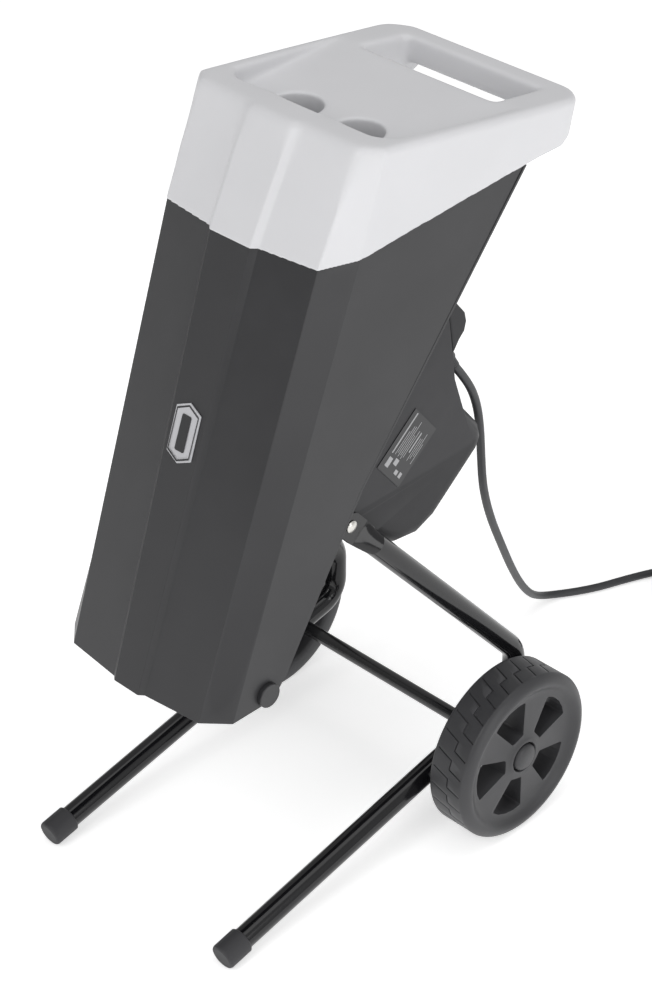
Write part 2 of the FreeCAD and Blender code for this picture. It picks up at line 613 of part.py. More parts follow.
def motor_housing():
    outer = housing_block("housing_outer", 0)
    inner = housing_block("housing_inner", 1)
    shaped = doc.addObject("Part::Cut", "housing_shell")
    shaped.Base = outer
    shaped.Tool = inner
    vents = []
    for row in range(VENT_COUNT):
        vent = doc.addObject("Part::Box", "vent_%d" % row)
        vent.Height = 20
        vent.setExpression("Width", "dims.vent_width")
        vent.setExpression("Length", "dims.vent_length")
        vent.Placement.Base = Vector(-size("vent_length") / 2,
                                     size("vent_first_y") + size("vent_pitch") * row,
                                     size("housing_end") - 12)
        vents.append(vent)
    sockets = []
    for x, y in screw_places():
        socket = doc.addObject("Part::Cylinder", "screw_hole")
        socket.Height = 30
        socket.setExpression("Radius", "dims.screw_radius + 0.2")
        socket.Placement.Base = Vector(x, y, size("housing_end") - 20)
        sockets.append(socket)
    for side in (-1, 1):
        hole = doc.addObject("Part::Cylinder", "frame_bolt_hole")
        hole.Height = 28
        hole.setExpression("Radius", "dims.bolt_hole_radius")
        pocket_round = doc.addObject("Part::Cylinder", "nut_pocket")
        pocket_round.setExpression("Radius", "dims.nut_radius + 0.3")
        pocket_round.setExpression("Height", "2 * dims.nut_height")
        lug = Vector(0, size("lug_y") - size("motor_y"), size("lug_z") - size("motor_z"))
        flank = size("housing_half") - size("wall")
        for cutter, start in ((hole, side * flank - 14), (pocket_round, side * (flank - 6) - 6)):
            centre = on_shaft(lug) + Vector(start, 0, 0)
            cutter.Placement = FreeCAD.Placement(centre, Rotation(Vector(0, 1, 0), 90))
            sockets.append(cutter)
    lead_way = doc.addObject("Part::Cylinder", "lead_hole")
    lead_way.setExpression("Radius", "dims.gland_radius")
    lead_way.Height = 48
    first = Vector(*LEAD_ROUTE[0]) - Vector(0, size("motor_y"), size("motor_z"))
    toward = (Vector(*LEAD_ROUTE[1]) - Vector(*LEAD_ROUTE[0])).normalize()
    mouth = on_shaft(first - toward * 62)
    lead_way.Placement = FreeCAD.Placement(mouth, Rotation(Vector(0, 0, 1), on_shaft(toward)))
    cutters = doc.addObject("Part::MultiFuse", "housing_cutters")
    cutters.Shapes = vents + sockets + [lead_way]
    housing = doc.addObject("Part::Cut", "housing")
    housing.Base = shaped
    housing.Tool = cutters
    return keep_on_shaft(housing, "motor_housing")


def screw_places():
    """The four housing screws, across and along the housing's end face."""
    places = []
    for y in (size("screw_low_y"), size("screw_high_y")):
        for x in (-size("screw_x"), size("screw_x")):
            places.append((x, y))
    return places


def on_shaft(direction):
    """A direction or an offset from the shaft's origin, in the leaning frame of the shaft."""
    return Vector(direction.x, -direction.dot(DISC_UP), direction.dot(SHAFT_AXIS))


def switch_cover():
    """The hollow wedge on top of the housing that holds the switch and its buttons."""
    outlines = {
        "cover_outer": [("-153.8", "-5"), ("-153.8", "24"), ("-149", "34"), ("-140", "40.7"),
                        ("-130", "41.5"), ("-115.5", "45.6"), ("-142.3", "-2.4")],
        "cover_inner": [("-153.8 + dims.wall", "-5 + dims.wall"), ("-153.8 + dims.wall", "23"),
                        ("-147", "31.8"), ("-139", "37.7"), ("-130", "38.5"), ("-100", "46.5"),
                        ("-130", "-5 + dims.wall")],
    }
    blocks = []
    for name, outline in outlines.items():
        body = new_body(name)
        sketch = new_sketch(body, "YZ_Plane")
        draw(sketch, outline)
        inset = "0" if name == "cover_outer" else "dims.wall"
        extrude(body, sketch, "2 * (dims.housing_half - %s)" % inset, both_ways=True)
        blocks.append(body)
    round_edges(blocks[0], 2.5, lambda edge: edge.BoundBox.XLength < 0.01
                and edge.Length > 6 and edge.BoundBox.YMin < -129.9)
    wells = []
    for across in BUTTON_PLACES:
        well = doc.addObject("Part::Cylinder", "button_well")
        well.Height = 20
        well.setExpression("Radius", "dims.button_radius + dims.gap")
        well.Placement = FreeCAD.Placement(Vector(across, -140, size("button_reach")),
                                           Rotation(Vector(1, 0, 0), 90))
        wells.append(well)
    cutters = doc.addObject("Part::MultiFuse", "cover_cutters")
    cutters.Shapes = [blocks[1]] + wells
    cover = doc.addObject("Part::Cut", "cover")
    cover.Base = blocks[0]
    cover.Tool = cutters
    return keep_on_shaft(cover, "switch_cover")


def switch_buttons():
    """On, off and overload reset: three round buttons that travel into the cover."""
    for label, across in zip(("on_button", "off_button", "reset_button"), BUTTON_PLACES):
        button = turned(label + "_body", [
            ("0", "0"), ("dims.button_radius", "0"), ("dims.button_radius", "12.4"),
            ("dims.button_radius - 1", "13.4"), ("0", "13.4")])
        button.Label = label
        start = Vector(across, size("axle_y") + size("motor_y"), size("motor_z"))
        start = start + DISC_UP * size("button_foot") + SHAFT_AXIS * size("button_reach")
        button.Placement = FreeCAD.Placement(start, Rotation(Vector(0, 0, 1), DISC_UP))
        SUB_PARTS.append(button)


def lock_knob():
    """The three-lobed knob on the rear wall, and the screw that it turns."""
    knob = new_body("knob")
    start = size("lock_start")
    lobe_start = start + (size("lock_height") - size("lobe_height")) / 2
    sketch = new_sketch(knob, "XY_Plane", Vector(0, 0, start))
    draw_circle(sketch, "0", "0", "0.62 * dims.lock_radius")
    extrude(knob, sketch, "dims.lock_height")
    lobe = new_sketch(knob, "XY_Plane", Vector(0, 0, lobe_start))
    draw_circle(lobe, "dims.lock_radius - dims.lobe_radius - 0.5", "0", "dims.lobe_radius")
    pad = extrude(knob, lobe, "dims.lobe_height")
    pattern = knob.newObject("PartDesign::PolarPattern", "knob_lobes")
    pattern.Originals = [pad]
    pattern.Axis = (sketch, ["N_Axis"])
    pattern.Occurrences = KNOB_LOBES
    knob.Tip = pattern
    bore = new_sketch(knob, "XY_Plane", Vector(0, 0, start))
    draw_circle(bore, "0", "0", "dims.latch_screw_radius")
    pocket(knob, bore, "10", backwards=True)
    keep_on_seam(knob, "lock_knob", size("lock_reach"))
    screw = turned("screw", [("0", "-12"), ("dims.latch_screw_radius - 0.8", "-12"),
                             ("dims.latch_screw_radius", "-10.5"),
                             ("dims.latch_screw_radius", "dims.lock_start + 9.8"),
                             ("0", "dims.lock_start + 9.8")])
    keep_on_seam(screw, "lock_screw", size("lock_reach"))
    collar = turned("collar", [("dims.latch_screw_radius + 0.25", "6.2"), ("9", "6.2"),
                               ("9", "dims.lock_start - dims.gap"),
                               ("dims.latch_screw_radius + 0.25", "dims.lock_start - dims.gap")])
    keep_on_seam(collar, "lock_bush", size("lock_reach"))


def hinge():
    """Headed pins through the shell's flanks into two bearing blocks on the rear wall."""
    head_start = size("side_low_x") + 0.35
    head_height = size("hinge_head_height")
    inner_x = size("hinge_inner_x")
    outer_x = size("block_inner_x") + size("block_width")
    bore_length = 20
    pins = []
    blocks = []
    for side in (-1, 1):
        along = Vector(side, 0, 0)
        foot = Vector(side * inner_x, size("hinge_y"), size("hinge_z"))
        shank = Part.makeCylinder(size("hinge_radius"), head_start - inner_x, foot, along)
        face = Vector(side * head_start, size("hinge_y"), size("hinge_z"))
        head = Part.makeCylinder(size("hinge_head_radius"), head_height, face, along)
        rims = [edge for edge in head.Edges if abs(edge.CenterOfMass.x) > head_start + head_height - 1]
        pins.append(head.makeFillet(1.2, rims[:1]).fuse(shank).removeSplitter())
        corner = Vector(min(side * size("block_inner_x"), side * outer_x),
                        size("hinge_y") - 11, size("hinge_z") - 10)
        block = Part.makeBox(size("block_width"), size("block_length"), size("block_height"), corner)
        block = block.cut(Part.makeCylinder(size("hinge_radius"), bore_length, foot, along))
        blocks.append(block)
    behind = Part.makePolygon([
        Vector(-200, size("kink_y") + size("gap"), size("kink_z")),
        Vector(-200, size("seam_foot_y") + size("gap"), size("seam_foot_z")),
        Vector(-200, size("seam_toe_y") + size("gap"), size("shell_low_z") - 2),
        Vector(-200, 0, size("shell_low_z") - 2), Vector(-200, 0, size("kink_z")),
        Vector(-200, size("kink_y") + size("gap"), size("kink_z"))])
    trimmer = Part.Face(behind).extrude(Vector(400, 0, 0))
    keep(solids("pins", pins), "hinge_pins")
    keep(solids("blocks", [block.cut(trimmer) for block in blocks]), "hinge_blocks")


# ------------------------------------------------------------ cutting gear and motor
def cutting_gear():
    start = size("disc_start")
    top = start + size("disc_thickness")
    disc = turned("disc", [("dims.shaft_radius", "dims.disc_start"),
                           ("dims.disc_radius", "dims.disc_start"),
                           ("dims.disc_radius", "dims.disc_start + dims.disc_thickness"),
                           ("dims.shaft_radius + 12", "dims.disc_start + dims.disc_thickness"),
                           ("dims.shaft_radius + 12", "dims.disc_start + 2 * dims.disc_thickness"),
                           ("dims.shaft_radius", "dims.disc_start + 2 * dims.disc_thickness")])
    slots = new_sketch(disc, "XY_Plane", Vector(0, 0, start - 1))
    draw(slots, [("34", "16"), ("70", "16"), ("70", "24"), ("34", "24")])
    draw(slots, [("-34", "-16"), ("-70", "-16"), ("-70", "-24"), ("-34", "-24")])
    pocket(disc, slots, "20", backwards=True)
    keep_on_shaft(disc, "blade_disc")
    blades = []
    screws = []
    seat = start - 0.2
    front = size("blade_front")
    thickness = size("blade_thickness")
    inner = size("blade_inner")
    along = size("blade_bolt_y")
    for side in (-1, 1):
        profile = [Vector(inner, front, seat - thickness),
                   Vector(inner, size("blade_rear"), seat - thickness),
                   Vector(inner, size("blade_rear") - thickness, seat), Vector(inner, front, seat)]
        edge_on = Part.Face(Part.makePolygon(profile + profile[:1]))
        blade = edge_on.extrude(Vector(size("blade_length"), 0, 0))
        for across in (size("blade_bolt_inner"), size("blade_bolt_outer")):
            blade = blade.cut(Part.makeCylinder(3.1, 30, Vector(across, along, start - 12)))
            head = Part.makeCylinder(5, 3, Vector(across, along, seat - thickness - 3.2))
            shank = Part.makeCylinder(2.95, thickness + 0.2,
                                      Vector(across, along, seat - thickness - 0.2))
            screw = head.fuse(shank)
            screws.append(screw if side > 0 else turned_half(screw))
        blades.append(blade if side > 0 else turned_half(blade))
    keep_on_shaft(solids("blades", blades), "cutting_blades")
    keep_on_shaft(solids("blade_bolts", screws), "blade_screws")
    paddles = []
    for quarter in (45, 135, 225, 315):
        corner = Vector(size("paddle_inner"), -size("paddle_thickness") / 2, top + 0.02)
        paddle = Part.makeBox(size("paddle_length"), size("paddle_thickness"),
                              size("paddle_height"), corner)
        paddle.rotate(Vector(0, 0, 0), Vector(0, 0, 1), quarter)
        paddles.append(paddle)
    keep_on_shaft(solids("paddles", paddles), "chip_paddles")
    under = Vector(0, 0, start - size("disc_nut_height") - 0.02)
    nut = Part.makeCylinder(size("disc_nut_radius"), size("disc_nut_height"), under)
    thread = Part.makeCylinder(size("shaft_radius") - 1, size("disc_nut_height"), under)
    keep_on_shaft(solids("nut", [nut.cut(thread)]), "disc_nut")


def turned_half(shape):
    copy = shape.copy()
    copy.rotate(Vector(0, 0, 0), Vector(0, 0, 1), 180)
    return copy


def motor():
    shaft = turned("shaft", [
        ("0", "dims.disc_start - 10"), ("dims.shaft_radius - 1", "dims.disc_start - 10"),
        ("dims.shaft_radius - 1", "dims.disc_start"), ("dims.shaft_radius", "dims.disc_start"),
        ("dims.shaft_radius", "dims.housing_end - 12"), ("0", "dims.housing_end - 12")])
    keep_on_shaft(shaft, "motor_shaft")
    start = size("rotor_start")
    end = start + size("rotor_length")
    bore = size("shaft_radius")
    keep_on_shaft(tube_of_rings("core", [(bore, size("rotor_radius"), start, end)]), "rotor_core")
    bars = [(bore, size("commutator_radius"), end + 4, end + 4 + size("commutator_length"))]
    keep_on_shaft(tube_of_rings("bars", bars), "commutator")
    cooling_fan()
    race = bore + size("bore_clearance")
    front = size("bearing_start")
    rings = [(race, size("bearing_radius"), front, front + size("bearing_width"))]
    keep_on_shaft(tube_of_rings("front_ring", rings), "drive_bearing")
    tail = [(race, size("tail_bearing_radius"), end + 22, end + 26)]
    keep_on_shaft(tube_of_rings("rear_ring", tail), "tail_bearing")
    field = [(size("rotor_radius") + 1, size("stator_radius"), start + 2, end - 2)]
    keep_on_shaft(tube_of_rings("field", field), "stator")
    bearing_bracket()
    brushes = []
    reach = size("commutator_radius") + 0.6
    for corner in (reach, -reach - size("brush_length")):
        brushes.append(Part.makeBox(size("brush_length"), size("brush_width"), size("brush_height"),
                                    Vector(corner, -size("brush_width") / 2, end + 6)))
    keep_on_shaft(solids("carbon", brushes), "brushes")


def cooling_fan():
    """The blower between the bracket and the rotor: a back plate, a hub and flat blades."""
    fan = turned("fan", [("dims.shaft_radius", "dims.fan_start"), ("dims.fan_radius", "dims.fan_start"),
                         ("dims.fan_radius", "dims.fan_start + 2"),
                         ("dims.fan_hub_radius", "dims.fan_start + 2"),
                         ("dims.fan_hub_radius", "dims.fan_start + dims.fan_height"),
                         ("dims.shaft_radius", "dims.fan_start + dims.fan_height")])
    blade = new_sketch(fan, "XY_Plane", Vector(0, 0, size("fan_start") + 1))
    draw(blade, [("dims.fan_hub_radius - 1", "-1"), ("dims.fan_radius - 1", "-1"),
                 ("dims.fan_radius - 1", "1"), ("dims.fan_hub_radius - 1", "1")])
    pad = extrude(fan, blade, "dims.fan_height - 2")
    pattern = fan.newObject("PartDesign::PolarPattern", "fan_blades")
    pattern.Originals = [pad]
    pattern.Axis = (blade, ["N_Axis"])
    pattern.Occurrences = FAN_BLADES
    fan.Tip = pattern
    keep_on_shaft(fan, "cooling_fan")


def bearing_bracket():
    """The cast cup that holds the front bearing, with four windows for the cooling air."""
    bracket = turned("bracket", [
        ("dims.bearing_radius", "dims.bearing_start"),
        ("dims.bearing_radius", "dims.bearing_start + dims.bearing_width"),
        ("24", "dims.bearing_start + dims.bearing_width"), ("24", "dims.bearing_start + 6"),
        ("78", "dims.bearing_start + 6"), ("78", "dims.bearing_start + 16"),
        ("82", "dims.bearing_start + 16"), ("82", "dims.bearing_start + 2"),
        ("24", "dims.bearing_start + 2"), ("24", "dims.bearing_start")])
    windows = new_sketch(bracket, "XY_Plane", Vector(0, 0, size("bearing_start") - 4))
    off = "dims.bracket_window_x"
    for across, along in ((off, "0"), ("-" + off, "0"), ("0", off), ("0", "-" + off)):
        draw_circle(windows, across, along, "dims.bracket_window_radius")
    pocket(bracket, windows, "30", backwards=True)
    keep_on_shaft(bracket, "bearing_bracket")


def housing_fittings():
    """Screws of the housing's end face, the rating label, and the switch behind its buttons."""
    heads = []
    for x, y in screw_places():
        face = Vector(x, y, size("housing_end"))
        head = Part.makeCylinder(size("screw_head_radius"), 2.6, face + Vector(0, 0, 0.02))
        shank = Part.makeCylinder(size("screw_radius"), 14, face - Vector(0, 0, 13))
        heads.append(head.fuse(shank))
    keep_on_shaft(solids("screws", heads), "housing_screws")
    corner = Vector(size("housing_half") + 0.02, size("label_y"), size("label_z"))
    label = Part.makeBox(size("label_thickness"), size("label_length"), size("label_width"), corner)
    keep_on_shaft(solids("label", [label]), "rating_label")
    block = Part.makeBox(72, 8, 24, Vector(-36, -141, 12))
    keep_on_shaft(solids("block", [block]), "switch_block")


# ------------------------------------------------------------------- tube frame
def rounded_path(points, radii=None):
    """Straight runs joined by tangent arcs; returns the wire and the arcs' radii."""
    share = 0.45
    edges = []
    used = []
    start = points[0]
    for index in range(1, len(points) - 1):
        here = points[index]
        before = points[index - 1] - here
        after = points[index + 1] - here
        turn = math.pi - before.getAngle(after)
        if radii is None:
            radius = share * min(before.Length, after.Length) / math.tan(turn / 2)
        else:
            radius = radii[index - 1]
        used.append(radius)
        reach = radius * math.tan(turn / 2)
        before.normalize()
        after.normalize()
        first = here + before * reach
        last = here + after * reach
        middle = (before + after).normalize()
        crown = here + middle * (radius / math.cos(turn / 2) - radius)
        edges.append(Part.LineSegment(start, first).toShape())
        edges.append(Part.Arc(first, crown, last).toShape())
        start = last
    edges.append(Part.LineSegment(start, points[-1]).toShape())
    return Part.Wire(edges), used


def pipe(wire, radius):
    """A solid round bar along a wire."""
    start = wire.Edges[0]
    ring = Part.Circle(start.valueAt(start.FirstParameter),
                       start.tangentAt(start.FirstParameter), radius)
    return wire.makePipeShell([Part.Wire([ring.toShape()])], True, False)


def foot_direction():
    """From the foot up to the axle, along the lower run of a frame tube."""
    start = foot_point()
    return (Vector(size("track_x"), 0, size("axle_height")) - start).normalize()


def foot_point():
    """Centre of a foot cap's closed end, so that its rim just touches the ground."""
    rise = math.atan2(size("axle_height") - size("foot_radius"), -size("foot_y"))
    height = size("foot_radius") * math.cos(rise) - size("wall") * math.sin(rise)
    return Vector(size("track_x"), size("foot_y"), height)


def frame_tube_shape():
    along = foot_direction()
    start = foot_point() + along * size("wall")
    low_bend = foot_point() + along * ((size("bend_y") - size("foot_y")) / along.y)
    high_bend = Vector(size("track_x"), size("bend_y"), size("bend_high_z"))
    lug = Vector(size("lug_x"), size("lug_y"), size("lug_z"))
    aim = Vector(size("tube_end_x"), size("lug_y"), size("lug_z"))
    slope = (aim - high_bend).normalize()
    tip = aim - slope * size("press_start")
    bends = [size("low_bend_radius"), size("high_bend_radius")]
    wire = rounded_path([start, low_bend, high_bend, tip], bends)[0]
    shape = pipe(wire, size("tube_radius")).cut(pipe(wire, size("tube_radius") - size("tube_wall")))
    width = size("lug_half_width")
    thin = Vector(1, 0, 0)
    upward = Vector(0, slope.y, slope.z).normalize()
    flat = upward.cross(thin)
    half = size("lug_thickness") / 2
    ring = Part.Wire([Part.Circle(tip, slope, size("tube_radius")).toShape()])
    ends = []
    for centre in (lug - upward * size("press_end"), lug):
        corners = [centre + flat * (width * u) + thin * (half * v)
                   for u, v in ((1, 1), (-1, 1), (-1, -1), (1, -1), (1, 1))]
        ends.append(Part.makePolygon(corners))
    pressed = Part.makeLoft([ring, ends[0]], True, True)
    tab = Part.makeLoft(ends, True, True)
    nose = Part.makeCylinder(width, 2 * half, lug - thin * half, thin)
    shape = shape.fuse([pressed, tab, nose])
    reach = 30
    hole = Part.makeCylinder(size("bolt_hole_radius"), 2 * reach, lug - Vector(reach, 0, 0), thin)
    axle_hole = Part.makeCylinder(size("axle_radius"), 2 * reach,
                                  Vector(size("track_x") - reach, 0, size("axle_height")), thin)
    return shape.cut([hole, axle_hole])


def frame():
    tube = frame_tube_shape()
    right, left = both_sides(tube)
    keep(solids("tube_right", [right]), "frame_tube_right")
    keep(solids("tube_left", [left]), "frame_tube_left")
    for label, side in (("foot_cap_right", 1), ("foot_cap_left", -1)):
        cap = turned(label, [("0", "0"), ("dims.foot_radius - 3", "0"),
                             ("dims.foot_radius - 0.9", "0.9"), ("dims.foot_radius", "3"),
                             ("dims.foot_radius", "dims.foot_cap_length - 1.5"),
                             ("dims.foot_radius - 1.5", "dims.foot_cap_length"),
                             ("dims.tube_radius", "dims.foot_cap_length"),
                             ("dims.tube_radius", "dims.wall"), ("0", "dims.wall")])
        start = foot_point()
        cap.Placement = FreeCAD.Placement(Vector(side * start.x, start.y, start.z),
                                          Rotation(Vector(0, 0, 1), foot_direction()))
        keep_moved(cap, label)
    bolts = []
    nuts = []
    outer = size("lug_x") + size("lug_thickness") / 2 + 0.9
    inner = size("housing_half") - size("wall") - 0.1
    lug = Vector(0, size("lug_y"), size("lug_z"))
    across = Vector(1, 0, 0)
    ball = size("bolt_head_radius")
    height = 2.5
    behind = Part.makeBox(2 * ball, 2 * ball, 2 * ball, Vector(ball - height - 2 * ball, -ball, -ball))
    head = Part.makeSphere(ball).cut(behind)
    head.translate(Vector(outer + height - ball, 0, 0) + lug)
    shank_start = inner - size("nut_height") - 2.4
    shank = Part.makeCylinder(size("bolt_radius"), outer + 0.2 - shank_start,
                              Vector(shank_start, 0, 0) + lug, across)
    bolt = head.fuse(shank)
    seat = Vector(inner - size("nut_height") - 0.1, 0, 0) + lug
    nut = Part.makeCylinder(size("nut_radius"), size("nut_height"), seat, across)
    nut = nut.cut(Part.makeCylinder(size("bolt_radius"), size("nut_height"), seat, across))
    for shape in both_sides(bolt):
        bolts.append(shape)
    for shape in both_sides(nut):
        nuts.append(shape)
    keep(solids("coach_bolts", bolts), "frame_bolts")
    keep(solids("frame_lock_nuts", nuts), "frame_nuts")


# -------------------------------------------------------------- wheels and axle
def axle_and_wheels():
    axle = turned("rod", [
        ("0", "-dims.axle_half"), ("dims.axle_radius - 1", "-dims.axle_half"),
        ("dims.axle_radius", "1 - dims.axle_half"), ("dims.axle_radius", "dims.axle_half - 1"),
        ("dims.axle_radius - 1", "dims.axle_half"), ("0", "dims.axle_half")])
    axle.Placement = FreeCAD.Placement(Vector(0, 0, size("axle_height")),
                                       Rotation(Vector(0, 1, 0), 90))
    keep_moved(axle, "axle")
    inner_x = size("wheel_inner_x")
    bore = size("axle_radius")
    clip_x = inner_x + size("hub_length") + 0.5
    rings = {
        "axle_spacers": (size("spacer_radius"), size("spacer_inner_x"), inner_x - 0.3),
        "wheel_retainers": (size("retainer_radius"), clip_x, clip_x + size("retainer_thickness")),
    }
    for label, (outer, start, end) in rings.items():
        part = tube_of_rings(label, [(bore, outer, start, end), (bore, outer, -end, -start)])
        part.Placement = FreeCAD.Placement(Vector(0, 0, size("axle_height")),
                                           Rotation(Vector(0, 1, 0), 90))
        keep_moved(part, label)
    for label, side in (("right", 1), ("left", -1)):
        sideways = Rotation(Vector(0, 1, 0), 90 * side)
        windows_forward = Rotation(Vector(0, 0, 1), -90)
        place = FreeCAD.Placement(Vector(side * inner_x, 0, size("axle_height")),
                                  sideways.multiply(windows_forward))
        wheel = wheel_body("wheel_" + label)
        wheel.Placement = place
        keep_moved(wheel, "wheel_" + label)
        cap = turned("hub_" + label, [
            ("0", "dims.wheel_width + 2"), ("13", "dims.wheel_width + 0.5"),
            ("dims.hub_cap_radius", "dims.wheel_width - 3"),
            ("dims.hub_cap_radius", "dims.wheel_width - 10"),
            ("14", "dims.wheel_width - 10"), ("14", "dims.wheel_width - 2"),
            ("0", "dims.wheel_width - 1")])
        cap.Placement = place
        keep_moved(cap, "hub_cap_" + label)


def wheel_body(name):
    """Tread ring, web with five windows, rim ring and hub, turned about the axle."""
    body = turned(name, [
        ("dims.axle_radius + dims.bore_clearance", "0"), ("dims.hub_radius", "0"),
        ("dims.hub_radius + 1", "18"), ("76", "18"), ("78", "3"),
        ("84", "0"), ("96", "0"), ("dims.wheel_radius", "4"),
        ("dims.wheel_radius", "dims.wheel_width - 4"), ("96", "dims.wheel_width"),
        ("80", "dims.wheel_width"), ("78", "dims.wheel_width - 14"),
        ("70", "dims.wheel_width - 20"), ("26", "dims.wheel_width - 18"),
        ("dims.hub_radius", "dims.wheel_width - 3"),
        ("dims.hub_cap_radius", "dims.wheel_width - 3"),
        ("dims.hub_cap_radius", "dims.hub_length"),
        ("dims.axle_radius + dims.bore_clearance", "dims.hub_length")])
    window = new_sketch(body, "XY_Plane", Vector(0, 0, 10))
    draw(window, [("30", "-8"), ("64", "-21"), ("68", "-8"), ("68", "8"), ("64", "21"), ("30", "8")])
    cut = pocket(body, window, "60", backwards=True)
    pattern = body.newObject("PartDesign::PolarPattern", name + "_windows")
    pattern.Originals = [cut]
    pattern.Axis = (window, ["N_Axis"])
    pattern.Occurrences = WHEEL_WINDOWS
    body.Tip = pattern
    return body


# ------------------------------------------------------------------- mains lead
def lead_tube(name, label, route):
    """A stretch of the lead along a route, its arcs as large as the runs allow."""
    radius = size("lead_diameter") / 2
    wire, radii = rounded_path([Vector(*point) for point in route])
    tube = pipe(wire, radius)
    ratio = tube.Volume / (math.pi * radius ** 2 * wire.Length)
    print(label, "bend radii:", [round(value) for value in radii])
    print(label, "length %.0f, volume ratio %.4f" % (wire.Length, ratio))
    return keep(solids(name, [tube]), label)


def lead():
    """Gland, moulded sleeve, lead, its spare length in a tied coil, and the plug."""
    exit_point = Vector(*LEAD_ROUTE[0])
    facing = Rotation(Vector(0, 0, 1), Vector(*LEAD_ROUTE[1]) - exit_point)
    core = size("sleeve_radius")
    gland = tube_of_rings("gland", [(core, size("gland_radius"),
                                     -size("gland_start"), -size("gland_end"))])
    gland.Placement = FreeCAD.Placement(exit_point, facing)
    keep_moved(gland, "cable_gland")
    sleeve = turned("sleeve", [
        ("0", "-dims.gland_start"), ("dims.sleeve_radius", "-dims.gland_start"),
        ("dims.sleeve_radius", "-dims.gland_end"), ("dims.lead_diameter / 2 + 0.8", "0"), ("0", "0")])
    sleeve.Placement = FreeCAD.Placement(exit_point, facing)
    keep_moved(sleeve, "lead_sleeve")
    lead_tube("hanging_lead", "mains_lead", LEAD_ROUTE)
    lead_tube("free_end", "lead_tail", TAIL_ROUTE)
    middle = size("coil_turn_radius")
    outer = middle + size("coil_half_width")
    inner = middle - size("coil_half_width")
    coil = Part.makeCylinder(outer, size("coil_height"))
    coil = coil.cut(Part.makeCylinder(inner, size("coil_height")))
    centre = Vector(size("coil_x"), size("coil_y"), 0)
    ring = solids("coil", [coil])
    ring.Placement.Base = centre
    keep_moved(ring, "lead_coil")
    strap = solids("strap", [coil_tie(outer, inner)])
    strap.Placement = FreeCAD.Placement(centre, Rotation(Vector(0, 0, 1), size("tie_turn")))
    keep_moved(strap, "coil_tie")
    plug()


def coil_tie(outer, inner):
    """A flat strap round the coil's section."""
    height = size("coil_height")
    width = size("tie_width")
    thick = size("tie_thickness")
    strap = Part.makeBox(outer - inner + 2 * thick, width, height + thick,
                         Vector(inner - thick, -width / 2, 0))
    return strap.cut(Part.makeBox(outer - inner, width, height, Vector(inner, -width / 2, 0)))


def plug():
    """The round moulded mains plug, lying beside the coil, with its two pins."""
    body = turned("plug_body", [
        ("0", "0"), ("5.2", "0"), ("6.8", "26"), ("11", "30"), ("14.5", "40"),
        ("dims.plug_radius", "48"), ("dims.plug_radius", "dims.plug_length"),
        ("0", "dims.plug_length")])
    pins = []
    for across in (-size("pin_spacing") / 2, size("pin_spacing") / 2):
        pins.append(Part.makeCylinder(size("pin_radius"), size("pin_length"),
                                      Vector(across, 0, size("plug_length"))))
    start = Vector(*TAIL_ROUTE[-1])
    ahead = start - Vector(*TAIL_ROUTE[-2])
    ahead.z = 0
    upward = Vector(0, 0, 1)
    facing = Rotation(upward.cross(ahead), upward, ahead, "ZYX")
    body.Placement = FreeCAD.Placement(start, facing)
    keep_moved(body, "plug")
    contacts = solids("plug_contacts", pins)
    contacts.Placement = FreeCAD.Placement(start, facing)
    keep_moved(contacts, "plug_pins")


def main():
    hopper_shell()
    hopper_cap()
    feed_chute()
    badge_plate()
    latch_bar()
    base_plate()
    motor_housing()
    switch_cover()
    switch_buttons()
    lock_knob()
    hinge()
    cutting_gear()
    motor()
    housing_fittings()
    frame()
    axle_and_wheels()
    lead()


main()
doc.recompute()
failed = []
for item in doc.Objects:
    if "Invalid" in item.State or "Error" in item.State:
        failed.append(item.Name + " (" + item.Label + ")")
for part in SUB_PARTS:
    if part.Shape.isNull() or not part.Shape.isValid():
        failed.append(part.Label + ": shape")
if failed:
    raise RuntimeError("failed objects: " + ", ".join(failed))
os.makedirs("parts", exist_ok=True)
for part in SUB_PARTS:
    part.Shape.exportStep(os.path.join("parts", part.Label + ".step"))
    print(part.Label, round(part.Shape.Volume / 1000.0, 1), "cm3")
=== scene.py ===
"""Looks of the garden shredder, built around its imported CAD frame. Metres, +Z up, front to -Y."""
import json
import math

import bmesh
import bpy
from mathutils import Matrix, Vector


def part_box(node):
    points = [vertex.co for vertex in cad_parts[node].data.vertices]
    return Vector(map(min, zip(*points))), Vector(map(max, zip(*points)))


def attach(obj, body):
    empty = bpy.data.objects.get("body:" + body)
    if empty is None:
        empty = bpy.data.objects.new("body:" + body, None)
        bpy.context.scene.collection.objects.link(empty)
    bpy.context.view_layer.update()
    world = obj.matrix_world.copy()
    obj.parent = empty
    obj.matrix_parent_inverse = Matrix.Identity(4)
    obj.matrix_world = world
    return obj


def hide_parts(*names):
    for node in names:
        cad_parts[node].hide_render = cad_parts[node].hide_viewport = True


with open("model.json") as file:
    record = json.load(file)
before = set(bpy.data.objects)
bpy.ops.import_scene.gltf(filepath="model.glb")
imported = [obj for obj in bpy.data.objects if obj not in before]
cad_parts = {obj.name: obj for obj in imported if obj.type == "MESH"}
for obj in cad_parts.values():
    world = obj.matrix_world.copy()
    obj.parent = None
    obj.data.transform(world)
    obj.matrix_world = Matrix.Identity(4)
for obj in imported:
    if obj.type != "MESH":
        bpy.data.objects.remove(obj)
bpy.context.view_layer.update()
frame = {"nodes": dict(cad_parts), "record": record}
NODES = frame["nodes"]
MM = 0.001


